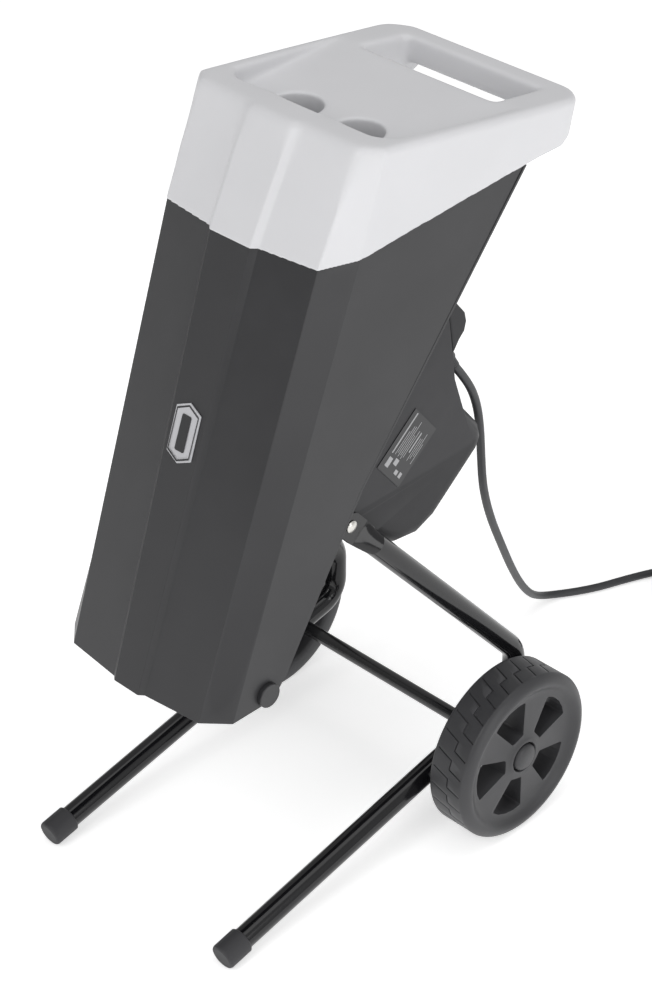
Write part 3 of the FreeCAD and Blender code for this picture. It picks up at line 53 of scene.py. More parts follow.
# ------------------------------------------------------------------ camera and light
AXLE_Y = 0.1225
CAMERA_TURN = 0.78128
CAMERA_DIP = 0.59073
CAMERA_PLACE = Vector((1.66349, -1.77148 + AXLE_Y, 1.96671))
FOCAL_MM = 96.87
SENSOR_MM = 36.0
LAMPS = [
    # name, place, target, size, watts
    ("key", (0.4, -2.5, 2.6), (0, 0, 0.85), (1.6, 1.6), 27),
    ("side", (3.0, -0.2, 1.3), (0, 0, 0.5), (1.4, 2.0), 19),
    ("top", (0.3, 0.4, 3.4), (0, 0, 0.4), (2.2, 2.2), 14),
]
SKY_LEVEL = 0.42
SKY_LEAN = (0.16, 0.06, 0.14)
FLOOR_REACH = 30.0
FLOOR_WHITE = 0.95
FLOOR_GLOW = 0.50


def camera():
    """The one camera, in front of the right side and above."""
    data = bpy.data.cameras.new("camera")
    data.lens = FOCAL_MM
    data.sensor_width = SENSOR_MM
    data.sensor_fit = "AUTO"
    data.clip_start = 0.05
    data.clip_end = 60
    eye = bpy.data.objects.new("camera", data)
    bpy.context.scene.collection.objects.link(eye)
    eye.location = CAMERA_PLACE
    eye.rotation_euler = (math.pi / 2 - CAMERA_DIP, 0, CAMERA_TURN)
    bpy.context.scene.camera = eye


def area_light(name, place, target, size, power):
    """A white rectangular lamp that faces its target."""
    data = bpy.data.lights.new(name, "AREA")
    data.shape = "RECTANGLE"
    data.size, data.size_y = size
    data.energy = power
    lamp = bpy.data.objects.new(name, data)
    bpy.context.scene.collection.objects.link(lamp)
    lamp.location = place
    lamp.rotation_euler = (Vector(target) - Vector(place)).to_track_quat("-Z", "Y").to_euler()


def studio():
    """Pale floor, soft lamps, and a white sky that is brighter on the right and above."""
    bpy.context.scene.view_settings.view_transform = "Standard"
    world = bpy.data.worlds.new("studio")
    world.use_nodes = True
    background = world.node_tree.nodes["Background"]
    background.inputs["Color"].default_value = (1, 1, 1, 1)
    sky = world.node_tree.nodes.new("ShaderNodeTexCoord")
    lean = world.node_tree.nodes.new("ShaderNodeVectorMath")
    lean.operation = "DOT_PRODUCT"
    lean.inputs[1].default_value = SKY_LEAN
    link(world.node_tree, sky, "Generated", lean, 0)
    level = world.node_tree.nodes.new("ShaderNodeMath")
    level.inputs[1].default_value = SKY_LEVEL
    link(world.node_tree, lean, "Value", level, 0)
    link(world.node_tree, level, "Value", background, "Strength")
    bpy.context.scene.world = world
    for lamp in LAMPS:
        area_light(*lamp)
    mesh = bpy.data.meshes.new("floor")
    reach = FLOOR_REACH
    corners = [(-reach, -reach, 0), (reach, -reach, 0), (reach, reach, 0), (-reach, reach, 0)]
    mesh.from_pydata(corners, [], [(0, 1, 2, 3)])
    floor = bpy.data.objects.new("floor", mesh)
    bpy.context.scene.collection.objects.link(floor)
    paper = bpy.data.materials.new("paper")
    paper.use_nodes = True
    shader = paper.node_tree.nodes["Principled BSDF"]
    shader.inputs["Base Color"].default_value = (FLOOR_WHITE, FLOOR_WHITE, FLOOR_WHITE, 1)
    shader.inputs["Roughness"].default_value = 0.9
    shader.inputs["Emission Color"].default_value = (1, 1, 1, 1)
    shader.inputs["Emission Strength"].default_value = FLOOR_GLOW
    floor.data.materials.append(paper)


# ------------------------------------------------------------------ materials
GLOSS_SPREAD = 0.06
# Pointiness range over which edges are painted lighter: partly wear, partly a painted highlight.
EDGE_LIGHT_FROM, EDGE_LIGHT_TO = 0.53, 0.62


def link(tree, source, socket, target, name):
    """Join one node's output to another node's input."""
    tree.links.new(source.outputs[socket], target.inputs[name])


def surface(name, colour, roughness, vary=0.08, patch=14.0, grain=0.25, grain_scale=1100.0,
            grain_depth=0.00012, metallic=0.0, coat=0.0, edge_wear_and_highlight=0.0, specular=0.5):
    """A moulded, painted or metal surface: patchy colour, uneven gloss, fine grain, and edges
    painted lighter, partly as wear and partly as a painted highlight.
    """
    made = bpy.data.materials.new(name)
    made.use_nodes = True
    tree = made.node_tree
    shader = tree.nodes["Principled BSDF"]
    shader.inputs["Metallic"].default_value = metallic
    shader.inputs["Coat Weight"].default_value = coat
    shader.inputs["Coat Roughness"].default_value = 0.08
    shader.inputs["Specular IOR Level"].default_value = specular
    place = tree.nodes.new("ShaderNodeTexCoord")
    cloud = tree.nodes.new("ShaderNodeTexNoise")
    cloud.inputs["Scale"].default_value = patch
    cloud.inputs["Detail"].default_value = 5
    link(tree, place, "Object", cloud, "Vector")
    dark = [channel * (1 - vary) for channel in colour]
    light = [min(1.0, channel * (1 + vary)) for channel in colour]
    ramp = tree.nodes.new("ShaderNodeValToRGB")
    ramp.color_ramp.elements[0].position = 0.3
    ramp.color_ramp.elements[1].position = 0.7
    ramp.color_ramp.elements[0].color = (*dark, 1)
    ramp.color_ramp.elements[1].color = (*light, 1)
    link(tree, cloud, "Fac", ramp, "Fac")
    # Painted highlight: sharp edges, found by pointiness, are lightened to about twice the base
    # colour. This is partly wear and partly the light that edges catch.
    if edge_wear_and_highlight:
        shape = tree.nodes.new("ShaderNodeNewGeometry")
        edge = tree.nodes.new("ShaderNodeMapRange")
        edge.inputs["From Min"].default_value = EDGE_LIGHT_FROM
        edge.inputs["From Max"].default_value = EDGE_LIGHT_TO
        edge.inputs["To Max"].default_value = edge_wear_and_highlight
        link(tree, shape, "Pointiness", edge, "Value")
        mix = tree.nodes.new("ShaderNodeMix")
        mix.data_type = "RGBA"
        tree.links.new(edge.outputs["Result"], mix.inputs["Factor"])
        tree.links.new(ramp.outputs["Color"], mix.inputs[6])
        mix.inputs[7].default_value = (*[min(1.0, channel * 2.2 + 0.03) for channel in colour], 1)
        tree.links.new(mix.outputs[2], shader.inputs["Base Color"])
    else:
        link(tree, ramp, "Color", shader, "Base Color")
    blotch = tree.nodes.new("ShaderNodeTexNoise")
    blotch.inputs["Scale"].default_value = patch * 4
    blotch.inputs["Detail"].default_value = 4
    link(tree, place, "Object", blotch, "Vector")
    gloss = tree.nodes.new("ShaderNodeMapRange")
    gloss.inputs["To Min"].default_value = max(0.02, roughness - GLOSS_SPREAD)
    gloss.inputs["To Max"].default_value = min(1.0, roughness + GLOSS_SPREAD)
    link(tree, blotch, "Fac", gloss, "Value")
    link(tree, gloss, "Result", shader, "Roughness")
    fine = tree.nodes.new("ShaderNodeTexNoise")
    fine.inputs["Scale"].default_value = grain_scale
    fine.inputs["Detail"].default_value = 2
    link(tree, place, "Object", fine, "Vector")
    bump = tree.nodes.new("ShaderNodeBump")
    bump.inputs["Strength"].default_value = grain
    bump.inputs["Distance"].default_value = grain_depth
    link(tree, fine, "Fac", bump, "Height")
    link(tree, bump, "Normal", shader, "Normal")
    return made


# The edge values lighten sharp edges: partly wear, partly a painted highlight.
MATERIALS = {
    "shell_plastic": surface("shell_plastic", (0.030, 0.030, 0.032), 0.42, edge_wear_and_highlight=0.25, specular=0.4),
    "housing_plastic": surface("housing_plastic", (0.021, 0.021, 0.023), 0.50, edge_wear_and_highlight=0.2,
                               specular=0.3),
    "cap_plastic": surface("cap_plastic", (0.66, 0.66, 0.677), 0.42, vary=0.015, specular=0.4),
    "badge_film": surface("badge_film", (0.50, 0.50, 0.52), 0.3, vary=0.04, grain=0.1),
    "mark_print": surface("mark_print", (0.36, 0.36, 0.37), 0.4, vary=0.04, grain=0.1),
    "label_film": surface("label_film", (0.02, 0.02, 0.022), 0.3, grain=0.1),
    "black_paint": surface("black_paint", (0.006, 0.006, 0.007), 0.13, coat=0.15, grain=0.08,
                           specular=0.4, grain_scale=260.0),
    "foot_rubber": surface("foot_rubber", (0.030, 0.030, 0.033), 0.62, grain=0.4),
    "wheel_plastic": surface("wheel_plastic", (0.036, 0.036, 0.039), 0.46, edge_wear_and_highlight=0.25),
    "zinc_steel": surface("zinc_steel", (0.62, 0.61, 0.58), 0.32, metallic=1.0, vary=0.12),
    "axle_paint": surface("axle_paint", (0.007, 0.007, 0.008), 0.2, coat=0.4, grain=0.15),
    "knob_plastic": surface("knob_plastic", (0.022, 0.022, 0.024), 0.4, edge_wear_and_highlight=0.2),
    "tool_steel": surface("tool_steel", (0.45, 0.45, 0.46), 0.28, metallic=1.0, vary=0.15),
    "alloy_cast": surface("alloy_cast", (0.6, 0.6, 0.6), 0.5, metallic=1.0, grain=0.6),
    "copper": surface("copper", (0.75, 0.4, 0.25), 0.3, metallic=1.0),
    "fan_plastic": surface("fan_plastic", (0.15, 0.15, 0.16), 0.5),
    "green_button": surface("green_button", (0.03, 0.25, 0.07), 0.35),
    "red_button": surface("red_button", (0.45, 0.02, 0.02), 0.35),
    "black_button": surface("black_button", (0.02, 0.02, 0.02), 0.35),
    "lead_rubber": surface("lead_rubber", (0.028, 0.029, 0.032), 0.48, grain=0.35),
}


def dress(piece, slot):
    """Give a piece one of the materials, in place of whatever it had."""
    piece.data.materials.clear()
    piece.data.materials.append(MATERIALS[slot])


# ------------------------------------------------------------------ the lead
LEAD_ROUTE = [
    (90, 2, 545), (90, 18, 524), (87, 35, 499), (83, 49, 469), (78, 60, 434), (72, 70, 394),
    (64, 83, 352), (54, 102, 312), (40, 130, 265), (24, 166, 210), (3, 209, 148),
    (-18, 253, 90), (-37, 295, 43), (-49, 329, 15), (-45, 358, 4.8), (-30, 382, 4.8),
    (-17, 408, 4.8), (-6, 439, 4.8), (8, 474, 4.8), (24, 505, 4.8), (38, 536, 4.8),
]
TAIL_ROUTE = [
    (146, 546.5, 33.2), (159.5, 533.5, 31.5), (170.5, 518.5, 27.5), (178.5, 501.5, 22.0),
    (182.5, 483.5, 18.6),
]
LEAD_DIAMETER = 0.0095
COIL_CENTRE = Vector((0.098, 0.504 + AXLE_Y, 0))
COIL_OUTER_TURN = 0.0635
COIL_LAYERS = 4
COIL_START_ANGLE = math.radians(151.9)
COIL_END_TURN = 10.24
FIRST_CROSSING = 0.90
CROSSING_LENGTH = 0.10
CLIMB_AFTER = 1.87
TURNS_PER_LAYER = 2.73
FLOOR_GAP = 0.0001
POINTS_PER_TURN = 30


def smooth_step(value):
    """0 below 0, 1 above 1, and an even curve between."""
    value = min(1.0, max(0.0, value))
    return value * value * (3 - 2 * value)


def coil_points():
    """Clockwise turns, three side by side in each of four layers, each step a short crossing."""
    steps = []
    start = FIRST_CROSSING
    for layer in range(COIL_LAYERS):
        inwards = -1 if layer % 2 == 0 else 1
        steps.append((start, inwards * LEAD_DIAMETER, 0))
        steps.append((start + 1, inwards * LEAD_DIAMETER, 0))
        if layer < COIL_LAYERS - 1:
            steps.append((start + CLIMB_AFTER, 0, LEAD_DIAMETER))
        start += TURNS_PER_LAYER
    points = []
    count = int(COIL_END_TURN * POINTS_PER_TURN)
    for index in range(1, count + 1):
        turn = index / POINTS_PER_TURN
        radius = COIL_OUTER_TURN
        height = LEAD_DIAMETER / 2 + FLOOR_GAP
        for when, across, up in steps:
            share = smooth_step((turn - when) / CROSSING_LENGTH)
            radius += across * share
            height += up * share
        angle = COIL_START_ANGLE - 2 * math.pi * turn
        points.append(COIL_CENTRE + Vector((math.cos(angle), math.sin(angle), 0)) * radius
                      + Vector((0, 0, height)))
    return points


def in_metres(route):
    """A route in millimetres from the axle's frame to the scene's metres."""
    return [Vector((x / 1000, y / 1000 + AXLE_Y, z / 1000)) for x, y, z in route]


def lead():
    """The whole lead as one spline: down from the gland, along the floor, coiled, to the plug."""
    points = in_metres(LEAD_ROUTE) + coil_points() + in_metres(TAIL_ROUTE)
    curve = bpy.data.curves.new("mains_lead_cord", "CURVE")
    curve.dimensions = "3D"
    curve.bevel_depth = LEAD_DIAMETER / 2
    curve.bevel_resolution = 5
    curve.resolution_u = 6
    curve.use_fill_caps = True
    spline = curve.splines.new("NURBS")
    spline.points.add(len(points) - 1)
    for point, place in zip(spline.points, points):
        point.co = (*place, 1)
    spline.order_u = 3
    spline.use_endpoint_u = True
    piece = bpy.data.objects.new("mains_lead_cord", curve)
    bpy.context.scene.collection.objects.link(piece)
    dress(piece, "lead_rubber")
    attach(piece, "chassis")
    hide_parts("mains_lead", "lead_tail", "lead_coil")
    return piece


def polyline_length(piece):
    """Length of a curve's own line."""
    bare = piece.data.copy()
    bare.bevel_depth = 0
    probe = bpy.data.objects.new("probe", bare)
    bpy.context.scene.collection.objects.link(probe)
    graph = bpy.context.evaluated_depsgraph_get()
    line = bpy.data.meshes.new_from_object(probe.evaluated_get(graph))
    total = sum((line.vertices[edge.vertices[0]].co - line.vertices[edge.vertices[1]].co).length
                for edge in line.edges)
    bpy.data.objects.remove(probe)
    return total


# ------------------------------------------------------------------ helpers for pieces
WELD_DISTANCE = 0.00002
FLAT_ANGLE = 1
HARD_EDGE = 28


def add_piece(name, mesh, slot, body, *nodes):
    """Link a mesh as a piece that rides on a body and stands for CAD nodes."""
    piece = bpy.data.objects.new(name, mesh)
    bpy.context.scene.collection.objects.link(piece)
    dress(piece, slot)
    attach(piece, body)
    if nodes:
        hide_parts(*nodes)
    return piece


def smooth_by_angle(mesh, degrees):
    """Smooth shading, with edges sharper than an angle kept hard."""
    for polygon in mesh.polygons:
        polygon.use_smooth = True
    mesh.set_sharp_from_angle(angle=math.radians(degrees))


def bake(piece):
    """Apply a piece's modifiers to its own mesh."""
    graph = bpy.context.evaluated_depsgraph_get()
    mesh = bpy.data.meshes.new_from_object(piece.evaluated_get(graph))
    old = piece.data
    piece.modifiers.clear()
    piece.data = mesh
    bpy.data.meshes.remove(old)
    return mesh


def rounded_edges(piece, width, degrees, segments):
    """Modifiers that clean a CAD mesh and round its hard edges."""
    weld = piece.modifiers.new("weld", "WELD")
    weld.merge_threshold = WELD_DISTANCE
    flat = piece.modifiers.new("flat", "DECIMATE")
    flat.decimate_type = "DISSOLVE"
    flat.angle_limit = math.radians(FLAT_ANGLE)
    edge = piece.modifiers.new("edge", "BEVEL")
    edge.width = width
    edge.segments = segments
    edge.limit_method = "ANGLE"
    edge.angle_limit = math.radians(degrees)
    return edge


def soften(node, width):
    """Round the hard edges of a carried-over CAD node, as moulding or folding leaves them."""
    edge = rounded_edges(NODES[node], width, HARD_EDGE, 3)
    edge.harden_normals = True
    edge.use_clamp_overlap = True


def finished(made, name):
    """Turn a bmesh into a mesh, and free it."""
    mesh = bpy.data.meshes.new(name)
    made.to_mesh(mesh)
    made.free()
    return mesh


def walls(made, near, far):
    """Faces between two closed outlines of equal count."""
    for index in range(len(near)):
        after = (index + 1) % len(near)
        made.faces.new((near[index], near[after], far[after], far[index]))


def swept(rings, closed=True):
    """Faces between rings of vertices of equal count; returns a bmesh."""
    made = bmesh.new()
    rows = [[made.verts.new(point) for point in ring] for ring in rings]
    last = len(rows) if closed else len(rows) - 1
    for row in range(last):
        walls(made, rows[row], rows[(row + 1) % len(rows)])
    bmesh.ops.recalc_face_normals(made, faces=made.faces)
    return made


def rounded(corners, radius, steps=5):
    """A closed outline whose corners are arcs."""
    points = []
    for index, corner in enumerate(corners):
        here = Vector(corner)
        before = (Vector(corners[index - 1]) - here).normalized()
        after = (Vector(corners[(index + 1) % len(corners)]) - here).normalized()
        half = before.angle(after) / 2
        centre = here + (before + after).normalized() * radius / math.sin(half)
        first = here + before * radius / math.tan(half) - centre
        last = here + after * radius / math.tan(half) - centre
        for step in range(steps + 1):
            points.append(centre + first.lerp(last, step / steps).normalized() * radius)
    return points


# ------------------------------------------------------------------ wheels
WHEEL_INNER_X = 161.4
WHEEL_WIDTH = 53.0
TREAD_RADIUS = 100.0
TREAD_BLOCKS = 28
GROOVE_HALF = 0.55
GROOVE_WALL = 0.35
GROOVE_DEPTH = 1.5
TREAD_SLANT = 0.32
TREAD_MIDDLE = 26.5
GROOVES_START = 5.3
GROOVES_END = 43.9
SLACK = 0.01
AXLE_HEIGHT = 0.1
WINDOW_COUNT = 5
WINDOW_OUTLINE = [(28, -9), (67, -24.5), (71.5, -13), (73, 0), (71.5, 13), (67, 24.5), (28, 9)]
WINDOW_CORNER = 2.6
WINDOW_CUT_FROM_TO = (8.0, 51.0)
WHEEL_EDGE = 1.3
SHARP_WHEEL_EDGE = 62
HUB_SEGMENTS = 72


def wheel_point(side, radius, across, angle):
    """From the wheel's own measures in millimetres to the frame in metres."""
    return Vector((side * (WHEEL_INNER_X + across) * MM,
                   AXLE_Y + radius * math.cos(angle) * MM,
                   AXLE_HEIGHT + radius * math.sin(angle) * MM))


def wheel_profile():
    """Section of the wheel, radius and distance from its inner face, from the bore outwards."""
    width = WHEEL_WIDTH
    edge = [TREAD_MIDDLE - GROOVE_HALF - GROOVE_WALL, TREAD_MIDDLE - GROOVE_HALF,
            TREAD_MIDDLE + GROOVE_HALF, TREAD_MIDDLE + GROOVE_HALF + GROOVE_WALL]
    tread = [3.2, 5.0, 5.4, 15.0] + edge + [38.0, 43.8, 44.2, 45.0]
    inner = [(8.1, 0.5), (8.6, 0), (21.2, 0), (22, 0.8), (23, 16.6), (24.4, 18), (74.5, 18),
             (76.2, 16.6), (77.8, 4.4), (79.5, 1.6), (84, 0), (94, 0), (97.6, 0.9), (99.4, 2.0)]
    outer = [(99.2, width - 6.2), (97.6, width - 4.2), (95.4, width - 2.4), (93, width - 1.0),
             (91, width - 0.3), (89, width), (87, width - 0.4), (85, width - 1.6),
             (83, width - 3.2), (80.5, width - 5.2), (78, width - 6.6), (75, width - 7.4),
             (70, width - 7.6), (64, width - 7.6), (32, width - 6.4), (27, width - 5.4),
             (24.3, width - 4.6), (23.2, width - 4.2), (22.4, width - 3.8), (21.4, width - 3.4),
             (20, width - 3), (18.6, width - 3.1), (17.9, width - 3.8), (17.6, width - 5),
             (17.3, 41), (8.6, 41), (8.1, 40.5)]
    return inner + [(TREAD_RADIUS, across) for across in tread] + outer


def tread_columns():
    """Stations round the tread, in millimetres: close together at each groove's walls."""
    pitch = 2 * math.pi * TREAD_RADIUS / TREAD_BLOCKS
    marks = []
    for groove in (0.0, pitch / 2):
        for offset in (-GROOVE_HALF - GROOVE_WALL, -GROOVE_HALF, GROOVE_HALF,
                       GROOVE_HALF + GROOVE_WALL):
            marks.append(groove + offset)
        marks.append(groove + pitch / 4)
    return [block * pitch + place for block in range(TREAD_BLOCKS) for place in marks], pitch


def in_groove(radius, across, place, pitch):
    """Whether a tread point lies on the floor of the zigzag groove."""
    if radius < TREAD_RADIUS:
        return False
    turn = (place + pitch / 4) % pitch - pitch / 4
    reach = GROOVE_HALF + SLACK
    if abs(across - TREAD_MIDDLE) <= reach:
        return -reach <= turn <= pitch / 2 + reach
    if across < TREAD_MIDDLE:
        return across >= GROOVES_START and abs(turn) <= reach
    return across <= GROOVES_END and abs(turn - pitch / 2) <= reach


def wheel(label, side):
    """One wheel: tread with zigzag grooves, rounded rim, web with windows, and its hub cap."""
    columns, pitch = tread_columns()
    rings = []
    for radius, across in wheel_profile():
        ring = []
        for place in columns:
            sunk = GROOVE_DEPTH if in_groove(radius, across, place, pitch) else 0
            angle = (place + TREAD_SLANT * across) / TREAD_RADIUS
            ring.append(wheel_point(side, radius - sunk, across, angle))
        rings.append(ring)
    name = "wheel_" + label
    mesh = finished(swept(rings), name + "_moulding")
    piece = add_piece(name + "_moulding", mesh, "wheel_plastic", name, name)
    cutter = window_cutter(side)
    cut = piece.modifiers.new("windows", "BOOLEAN")
    cut.operation = "DIFFERENCE"
    cut.solver = "EXACT"
    cut.object = cutter
    edge = piece.modifiers.new("edge", "BEVEL")
    edge.width = WHEEL_EDGE * MM
    edge.segments = 3
    edge.limit_method = "ANGLE"
    edge.angle_limit = math.radians(SHARP_WHEEL_EDGE)
    smooth_by_angle(bake(piece), 40)
    dress(piece, "wheel_plastic")
    bpy.data.objects.remove(cutter)
    hub_cap(label, side)


def window_cutter(side):
    """Five rounded prisms through the web, one of them straight to the front."""
    outline = rounded(WINDOW_OUTLINE, WINDOW_CORNER)
    made = bmesh.new()
    for window in range(WINDOW_COUNT):
        turn = math.pi + window * 2 * math.pi / WINDOW_COUNT
        ends = []
        for across in WINDOW_CUT_FROM_TO:
            ring = []
            for point in outline:
                radius = math.hypot(point.x, point.y)
                angle = math.atan2(point.y, point.x) + turn
                ring.append(made.verts.new(wheel_point(side, radius, across, angle)))
            ends.append(ring)
        walls(made, ends[0], ends[1])
        made.faces.new(ends[0])
        made.faces.new(list(reversed(ends[1])))
    bmesh.ops.recalc_face_normals(made, faces=made.faces)
    cutter = bpy.data.objects.new("window_cutter", finished(made, "window_cutter"))
    bpy.context.scene.collection.objects.link(cutter)
    return cutter


def hub_cap(label, side):
    """A domed push-on cap in the hub's recess."""
    width = WHEEL_WIDTH
    profile = [(0.4, width + 1.9), (6, width + 1.7), (11, width + 0.9), (14, width - 0.4),
               (15.4, width - 1.9), (15.9, width - 4), (15.9, width - 10), (14.2, width - 10),
               (14.2, width - 3), (0.4, width - 2)]
    rings = [[wheel_point(side, radius, across, 2 * math.pi * step / HUB_SEGMENTS)
              for step in range(HUB_SEGMENTS)] for radius, across in profile]
    mesh = finished(swept(rings), "hub_cap_" + label + "_dome")
    smooth_by_angle(mesh, 40)
    add_piece("hub_cap_" + label + "_dome", mesh, "wheel_plastic", "wheel_" + label,
              "hub_cap_" + label)


# ------------------------------------------------------------------ cap
CAP_VOXEL = 0.0014
RIM_HEIGHT = 0.8347
RIM_SLOPE = 0.136
TRAY_HALF_WIDTH = 0.104
TRAY_BOTTOM = 0.772
FEED_HOLE_PLACE = Vector((0.0414, 0.0291))
FEED_HOLE_RADIUS = 0.0295
CAP_ROUNDS = 3
TRAY_ROUNDS = 130
SIDE_BLEND = 0.022
FRONT_LIP = 0.038
REAR_LIP = 0.016
THINNED_TO = 0.4
JOINT_LINE = ((-0.400, 0.7446), (-0.1677, 0.7446), (0.0678, 0.7653), (0.112, 0.7675),
              (0.147, 0.7825), (0.200, 0.7825))


def joint_height(depth):
    """Height of the joint between cap and shell, at a distance behind the axle."""
    for near, far in zip(JOINT_LINE, JOINT_LINE[1:]):
        if depth <= far[0]:
            share = (depth - near[0]) / (far[0] - near[0])
            return near[1] + (far[1] - near[1]) * share
    return JOINT_LINE[-1][1]


def feed_cap():
    """The moulded cap: the CAD cap with the soft inside and outside corners of its moulding."""
    mesh = NODES["hopper_cap"].data.copy()
    piece = add_piece("feed_cap", mesh, "cap_plastic", "hopper", "hopper_cap")
    weld = piece.modifiers.new("weld", "WELD")
    weld.merge_threshold = WELD_DISTANCE
    grid = piece.modifiers.new("grid", "REMESH")
    grid.mode = "VOXEL"
    grid.voxel_size = CAP_VOXEL
    mesh = bake(piece)
    low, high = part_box("hopper_cap")
    tray = piece.vertex_groups.new(name="tray")
    for vertex in mesh.vertices:
        x, y, z = vertex.co
        rim = RIM_HEIGHT - RIM_SLOPE * (y - AXLE_Y)
        inside = 1 - smooth_step((abs(x) - TRAY_HALF_WIDTH) / SIDE_BLEND)
        front = smooth_step((y - low.y - FRONT_LIP) / SIDE_BLEND)
        rear = 1 - smooth_step((y - high.y + REAR_LIP) / 0.012)
        height = smooth_step((z - TRAY_BOTTOM) / 0.02)
        hole = min((Vector((abs(x), y)) - FEED_HOLE_PLACE).length, 0.06)
        away = smooth_step((hole - FEED_HOLE_RADIUS) / 0.008)
        share = inside * front * rear * height * (0.10 + 0.90 * away) if z < rim + 0.01 else 0
        if share > 0.02:
            tray.add([vertex.index], share, "REPLACE")
    for vertex in mesh.vertices:
        depth = vertex.co.y - AXLE_Y
        joint = joint_height(depth)
        if abs(vertex.co.z - joint) < CAP_VOXEL:
            vertex.co.z = joint
    for name, rounds, group in (("all", CAP_ROUNDS, ""), ("soft", TRAY_ROUNDS, "tray")):
        ease = piece.modifiers.new(name, "SMOOTH")
        ease.factor = 0.5
        ease.iterations = rounds
        ease.vertex_group = group
    thin = piece.modifiers.new("thin", "DECIMATE")
    thin.ratio = THINNED_TO
    mesh = bake(piece)
    for polygon in mesh.polygons:
        polygon.use_smooth = True
    dress(piece, "cap_plastic")
    return piece


# ------------------------------------------------------------------ motor housing
def moulded(node, name, slot, body, width, degrees=44):
    """A CAD node's shape with rounded edges, and smooth shading across its shallow facets."""
    piece = add_piece(name, NODES[node].data.copy(), slot, body, node)
    rounded_edges(piece, width, degrees, 4)
    smooth_by_angle(bake(piece), degrees - 4)
    dress(piece, slot)
    even = piece.modifiers.new("even", "WEIGHTED_NORMAL")
    even.keep_sharp = True
    return piece


# ------------------------------------------------------------------ label and badge
SHAFT_DIP = math.radians(50.5)
SHAFT_AXIS = Vector((0, math.cos(SHAFT_DIP), -math.sin(SHAFT_DIP)))
DISC_UP = Vector((0, math.sin(SHAFT_DIP), math.cos(SHAFT_DIP)))
SHAFT_START = Vector((0, -0.1308 + AXLE_Y, 0.533))
LABEL_FACE = 0.10282
LINE_PITCH = 2.9
LABEL_BOXES = [(-19, 49, 7, 11), (-12, 60, 7, 7), (-19, 70, 6, 5), (-19, 79, 5, 6)]
PRINT_DEPTH = 0.00012
FILM_DEPTH = 0.0002
BADGE_OUTLINE = [(0, 32), (17.2, 24), (17.2, -24), (0, -32), (-17.2, -24), (-17.2, 24)]
PANEL_OUTLINE = [(-6.4, -19), (6.4, -19), (6.4, 19), (-6.4, 19)]


def label_marks():
    """Plain pale bars and four blank boxes printed on the rating label, with no lettering."""
    made = bmesh.new()
    add_bar(made, -4, 48, 50, 48)
    for row in range(6):
        start = 54 + LINE_PITCH * row
        add_bar(made, -3 + 3 * (row % 2), start, start + 0.8, 28 + 4 * (row * 5 % 4))
    add_bar(made, 8, 72.4, 74.2, 24)
    for row in range(4):
        start = 77 + LINE_PITCH * row
        add_bar(made, 4 * (row % 3), start, start + 0.7, 27 - 3 * (row % 2))
    for up, along, across, size in LABEL_BOXES:
        add_bar(made, up, along, along + across, size)
    marks = add_piece("label_marks", finished(made, "label_marks"), "badge_film", "chassis")
    dress(marks, "mark_print")


def add_bar(made, up, start, end, height):
    """One thin bar on the label, placed by millimetres up the disc and along the shaft."""
    corners = []
    for depth in (0.0, PRINT_DEPTH):
        for along, rise in ((start, up), (end, up), (end, up + height), (start, up + height)):
            place = SHAFT_START + SHAFT_AXIS * along * MM + DISC_UP * rise * MM
            corners.append(made.verts.new(place + Vector((LABEL_FACE + depth, 0, 0))))
    made.faces.new(corners[:4])
    made.faces.new(corners[4:])
    walls(made, corners[:4], corners[4:])
    bmesh.ops.recalc_face_normals(made, faces=made.faces)


def badge_marks():
    """A thin dark line inside the edge of the blank badge, and a dark panel in its middle."""
    plate = NODES["badge_plate"].data
    low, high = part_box("badge_plate")
    middle = (low + high) / 2
    slope = Vector((0, high.y - low.y, high.z - low.z)).normalized()
    out = Vector((1, 0, 0)).cross(slope)
    face = max((vertex.co - middle).dot(out) for vertex in plate.vertices)

    def on_plate(across, rise, lift):
        return middle + Vector((across * MM, 0, 0)) + slope * rise * MM + out * (face + lift)

    rings = [[on_plate(x * scale, y * (scale + 0.03), lift) for x, y in BADGE_OUTLINE]
             for scale, lift in ((0.90, 0), (0.90, FILM_DEPTH), (0.84, FILM_DEPTH), (0.84, 0))]
    add_piece("badge_border", finished(swept(rings), "badge_border"), "label_film", "hopper")
    made = bmesh.new()
    outline = rounded(PANEL_OUTLINE, 2.0)
    lower = [made.verts.new(on_plate(point.x, point.y, 0)) for point in outline]
    upper = [made.verts.new(on_plate(point.x, point.y, FILM_DEPTH)) for point in outline]
    made.faces.new(upper)
    made.faces.new(list(reversed(lower)))
    walls(made, lower, upper)
    bmesh.ops.recalc_face_normals(made, faces=made.faces)
    add_piece("badge_panel", finished(made, "badge_panel"), "label_film", "hopper")


# ------------------------------------------------------------------ plug and strain relief
def turned_piece(name, profile, start, direction, slot, body, nodes, count=48):
    """A solid of revolution in metres: (radius, distance) along a direction from a start."""
    side = direction.orthogonal().normalized()
    up = direction.cross(side)
    angles = [2 * math.pi * step / count for step in range(count)]
    turned = [side * math.cos(angle) + up * math.sin(angle) for angle in angles]
    rings = [[start + direction * along + out * radius for out in turned]
             for radius, along in profile]
    shape = swept(rings, closed=False)
    ends = [loop for loop in shape.edges if loop.is_boundary]
    bmesh.ops.holes_fill(shape, edges=ends)
    bmesh.ops.recalc_face_normals(shape, faces=shape.faces)
    mesh = finished(shape, name)
    smooth_by_angle(mesh, 35)
    return add_piece(name, mesh, slot, body, *nodes)


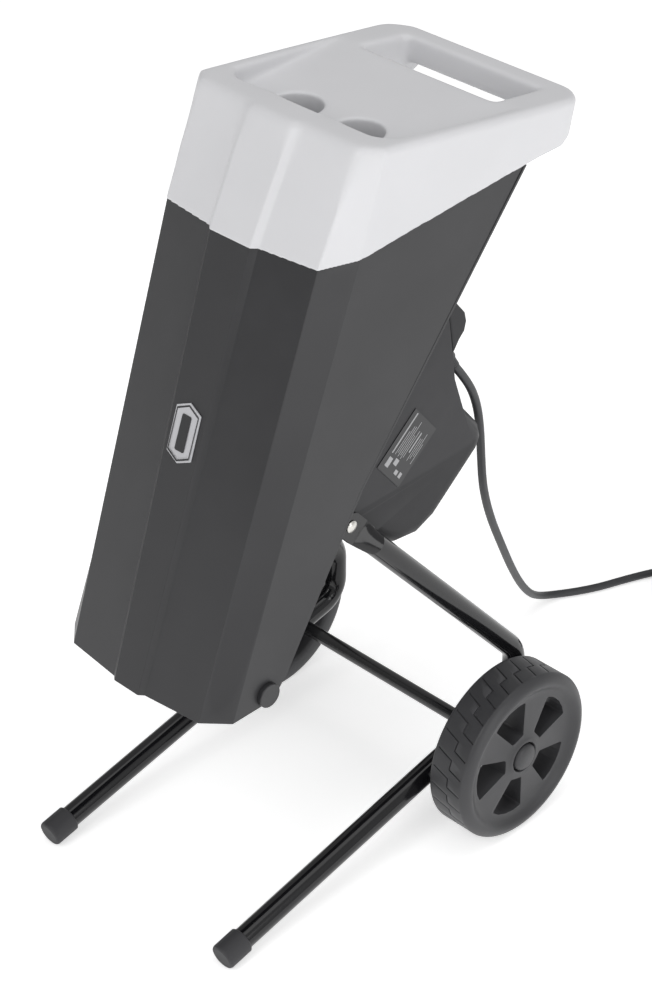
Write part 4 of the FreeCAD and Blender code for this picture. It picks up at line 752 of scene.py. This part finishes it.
def strain_relief(points):
    """The ribbed tapering sleeve on the lead where it leaves the housing."""
    start = points[0]
    direction = (points[1] - points[0]).normalized()
    profile = [(0.0069, -0.029), (0.0069, -0.018)]
    for rib in range(5):
        at = -0.0175 + rib * 0.0035
        outer = 0.0069 - rib * 0.00028
        profile += [(outer, at), (outer, at + 0.002), (outer - 0.0007, at + 0.0023),
                    (outer - 0.0007, at + 0.0032)]
    profile += [(0.0052, 0.0)]
    return turned_piece("strain_relief", profile, start, direction, "lead_rubber", "chassis",
                        ["lead_sleeve"])


def mains_plug(points):
    """Round moulded plug with grip rings behind its face."""
    start = points[-1]
    direction = points[-1] - points[-2]
    direction.z = 0
    direction.normalize()
    profile = [(0.0050, 0.0)]
    for rib in range(6):
        at = 0.001 + rib * 0.004
        outer = 0.0052 + rib * 0.00028
        profile += [(outer, at), (outer, at + 0.0022), (outer - 0.0006, at + 0.0026),
                    (outer - 0.0006, at + 0.0036)]
    profile += [(0.0068, 0.026), (0.0090, 0.0280), (0.0108, 0.030), (0.0126, 0.034),
                (0.0143, 0.040), (0.0165, 0.0445), (0.0180, 0.0478), (0.01845, 0.0500),
                (0.01845, 0.0540), (0.0179, 0.0545), (0.0179, 0.0560), (0.01845, 0.0565),
                (0.01845, 0.0625), (0.0178, 0.0636), (0.0165, 0.0639)]
    return turned_piece("mains_plug", profile, start, direction, "lead_rubber", "chassis", ["plug"],
                        count=64)


# ------------------------------------------------------------------ the whole scene
EDGES = {
    "hopper_shell": 0.0014, "rear_wall": 0.001, "hinge_blocks": 0.001, "latch_bar": 0.001,
    "lock_knob": 0.0016, "badge_plate": 0.0005, "feed_chute": 0.0008, "frame_bolts": 0.0006,
    "coil_tie": 0.0005, "housing_screws": 0.0006,
}

camera()
studio()
for row in frame["record"]["subparts"]:
    dress(NODES[row["node"]], row["material_slot"])
for node, width in EDGES.items():
    soften(node, width)
cord = lead()
wheel("right", 1)
wheel("left", -1)
feed_cap()
moulded("motor_housing", "motor_housing_moulding", "housing_plastic", "chassis", 0.0024)
moulded("switch_cover", "switch_cover_moulding", "housing_plastic", "chassis", 0.0020, degrees=60)
label_marks()
badge_marks()
sleeve = strain_relief(in_metres(LEAD_ROUTE))
plug = mains_plug(in_metres(TAIL_ROUTE))
print("lead length", polyline_length(cord))
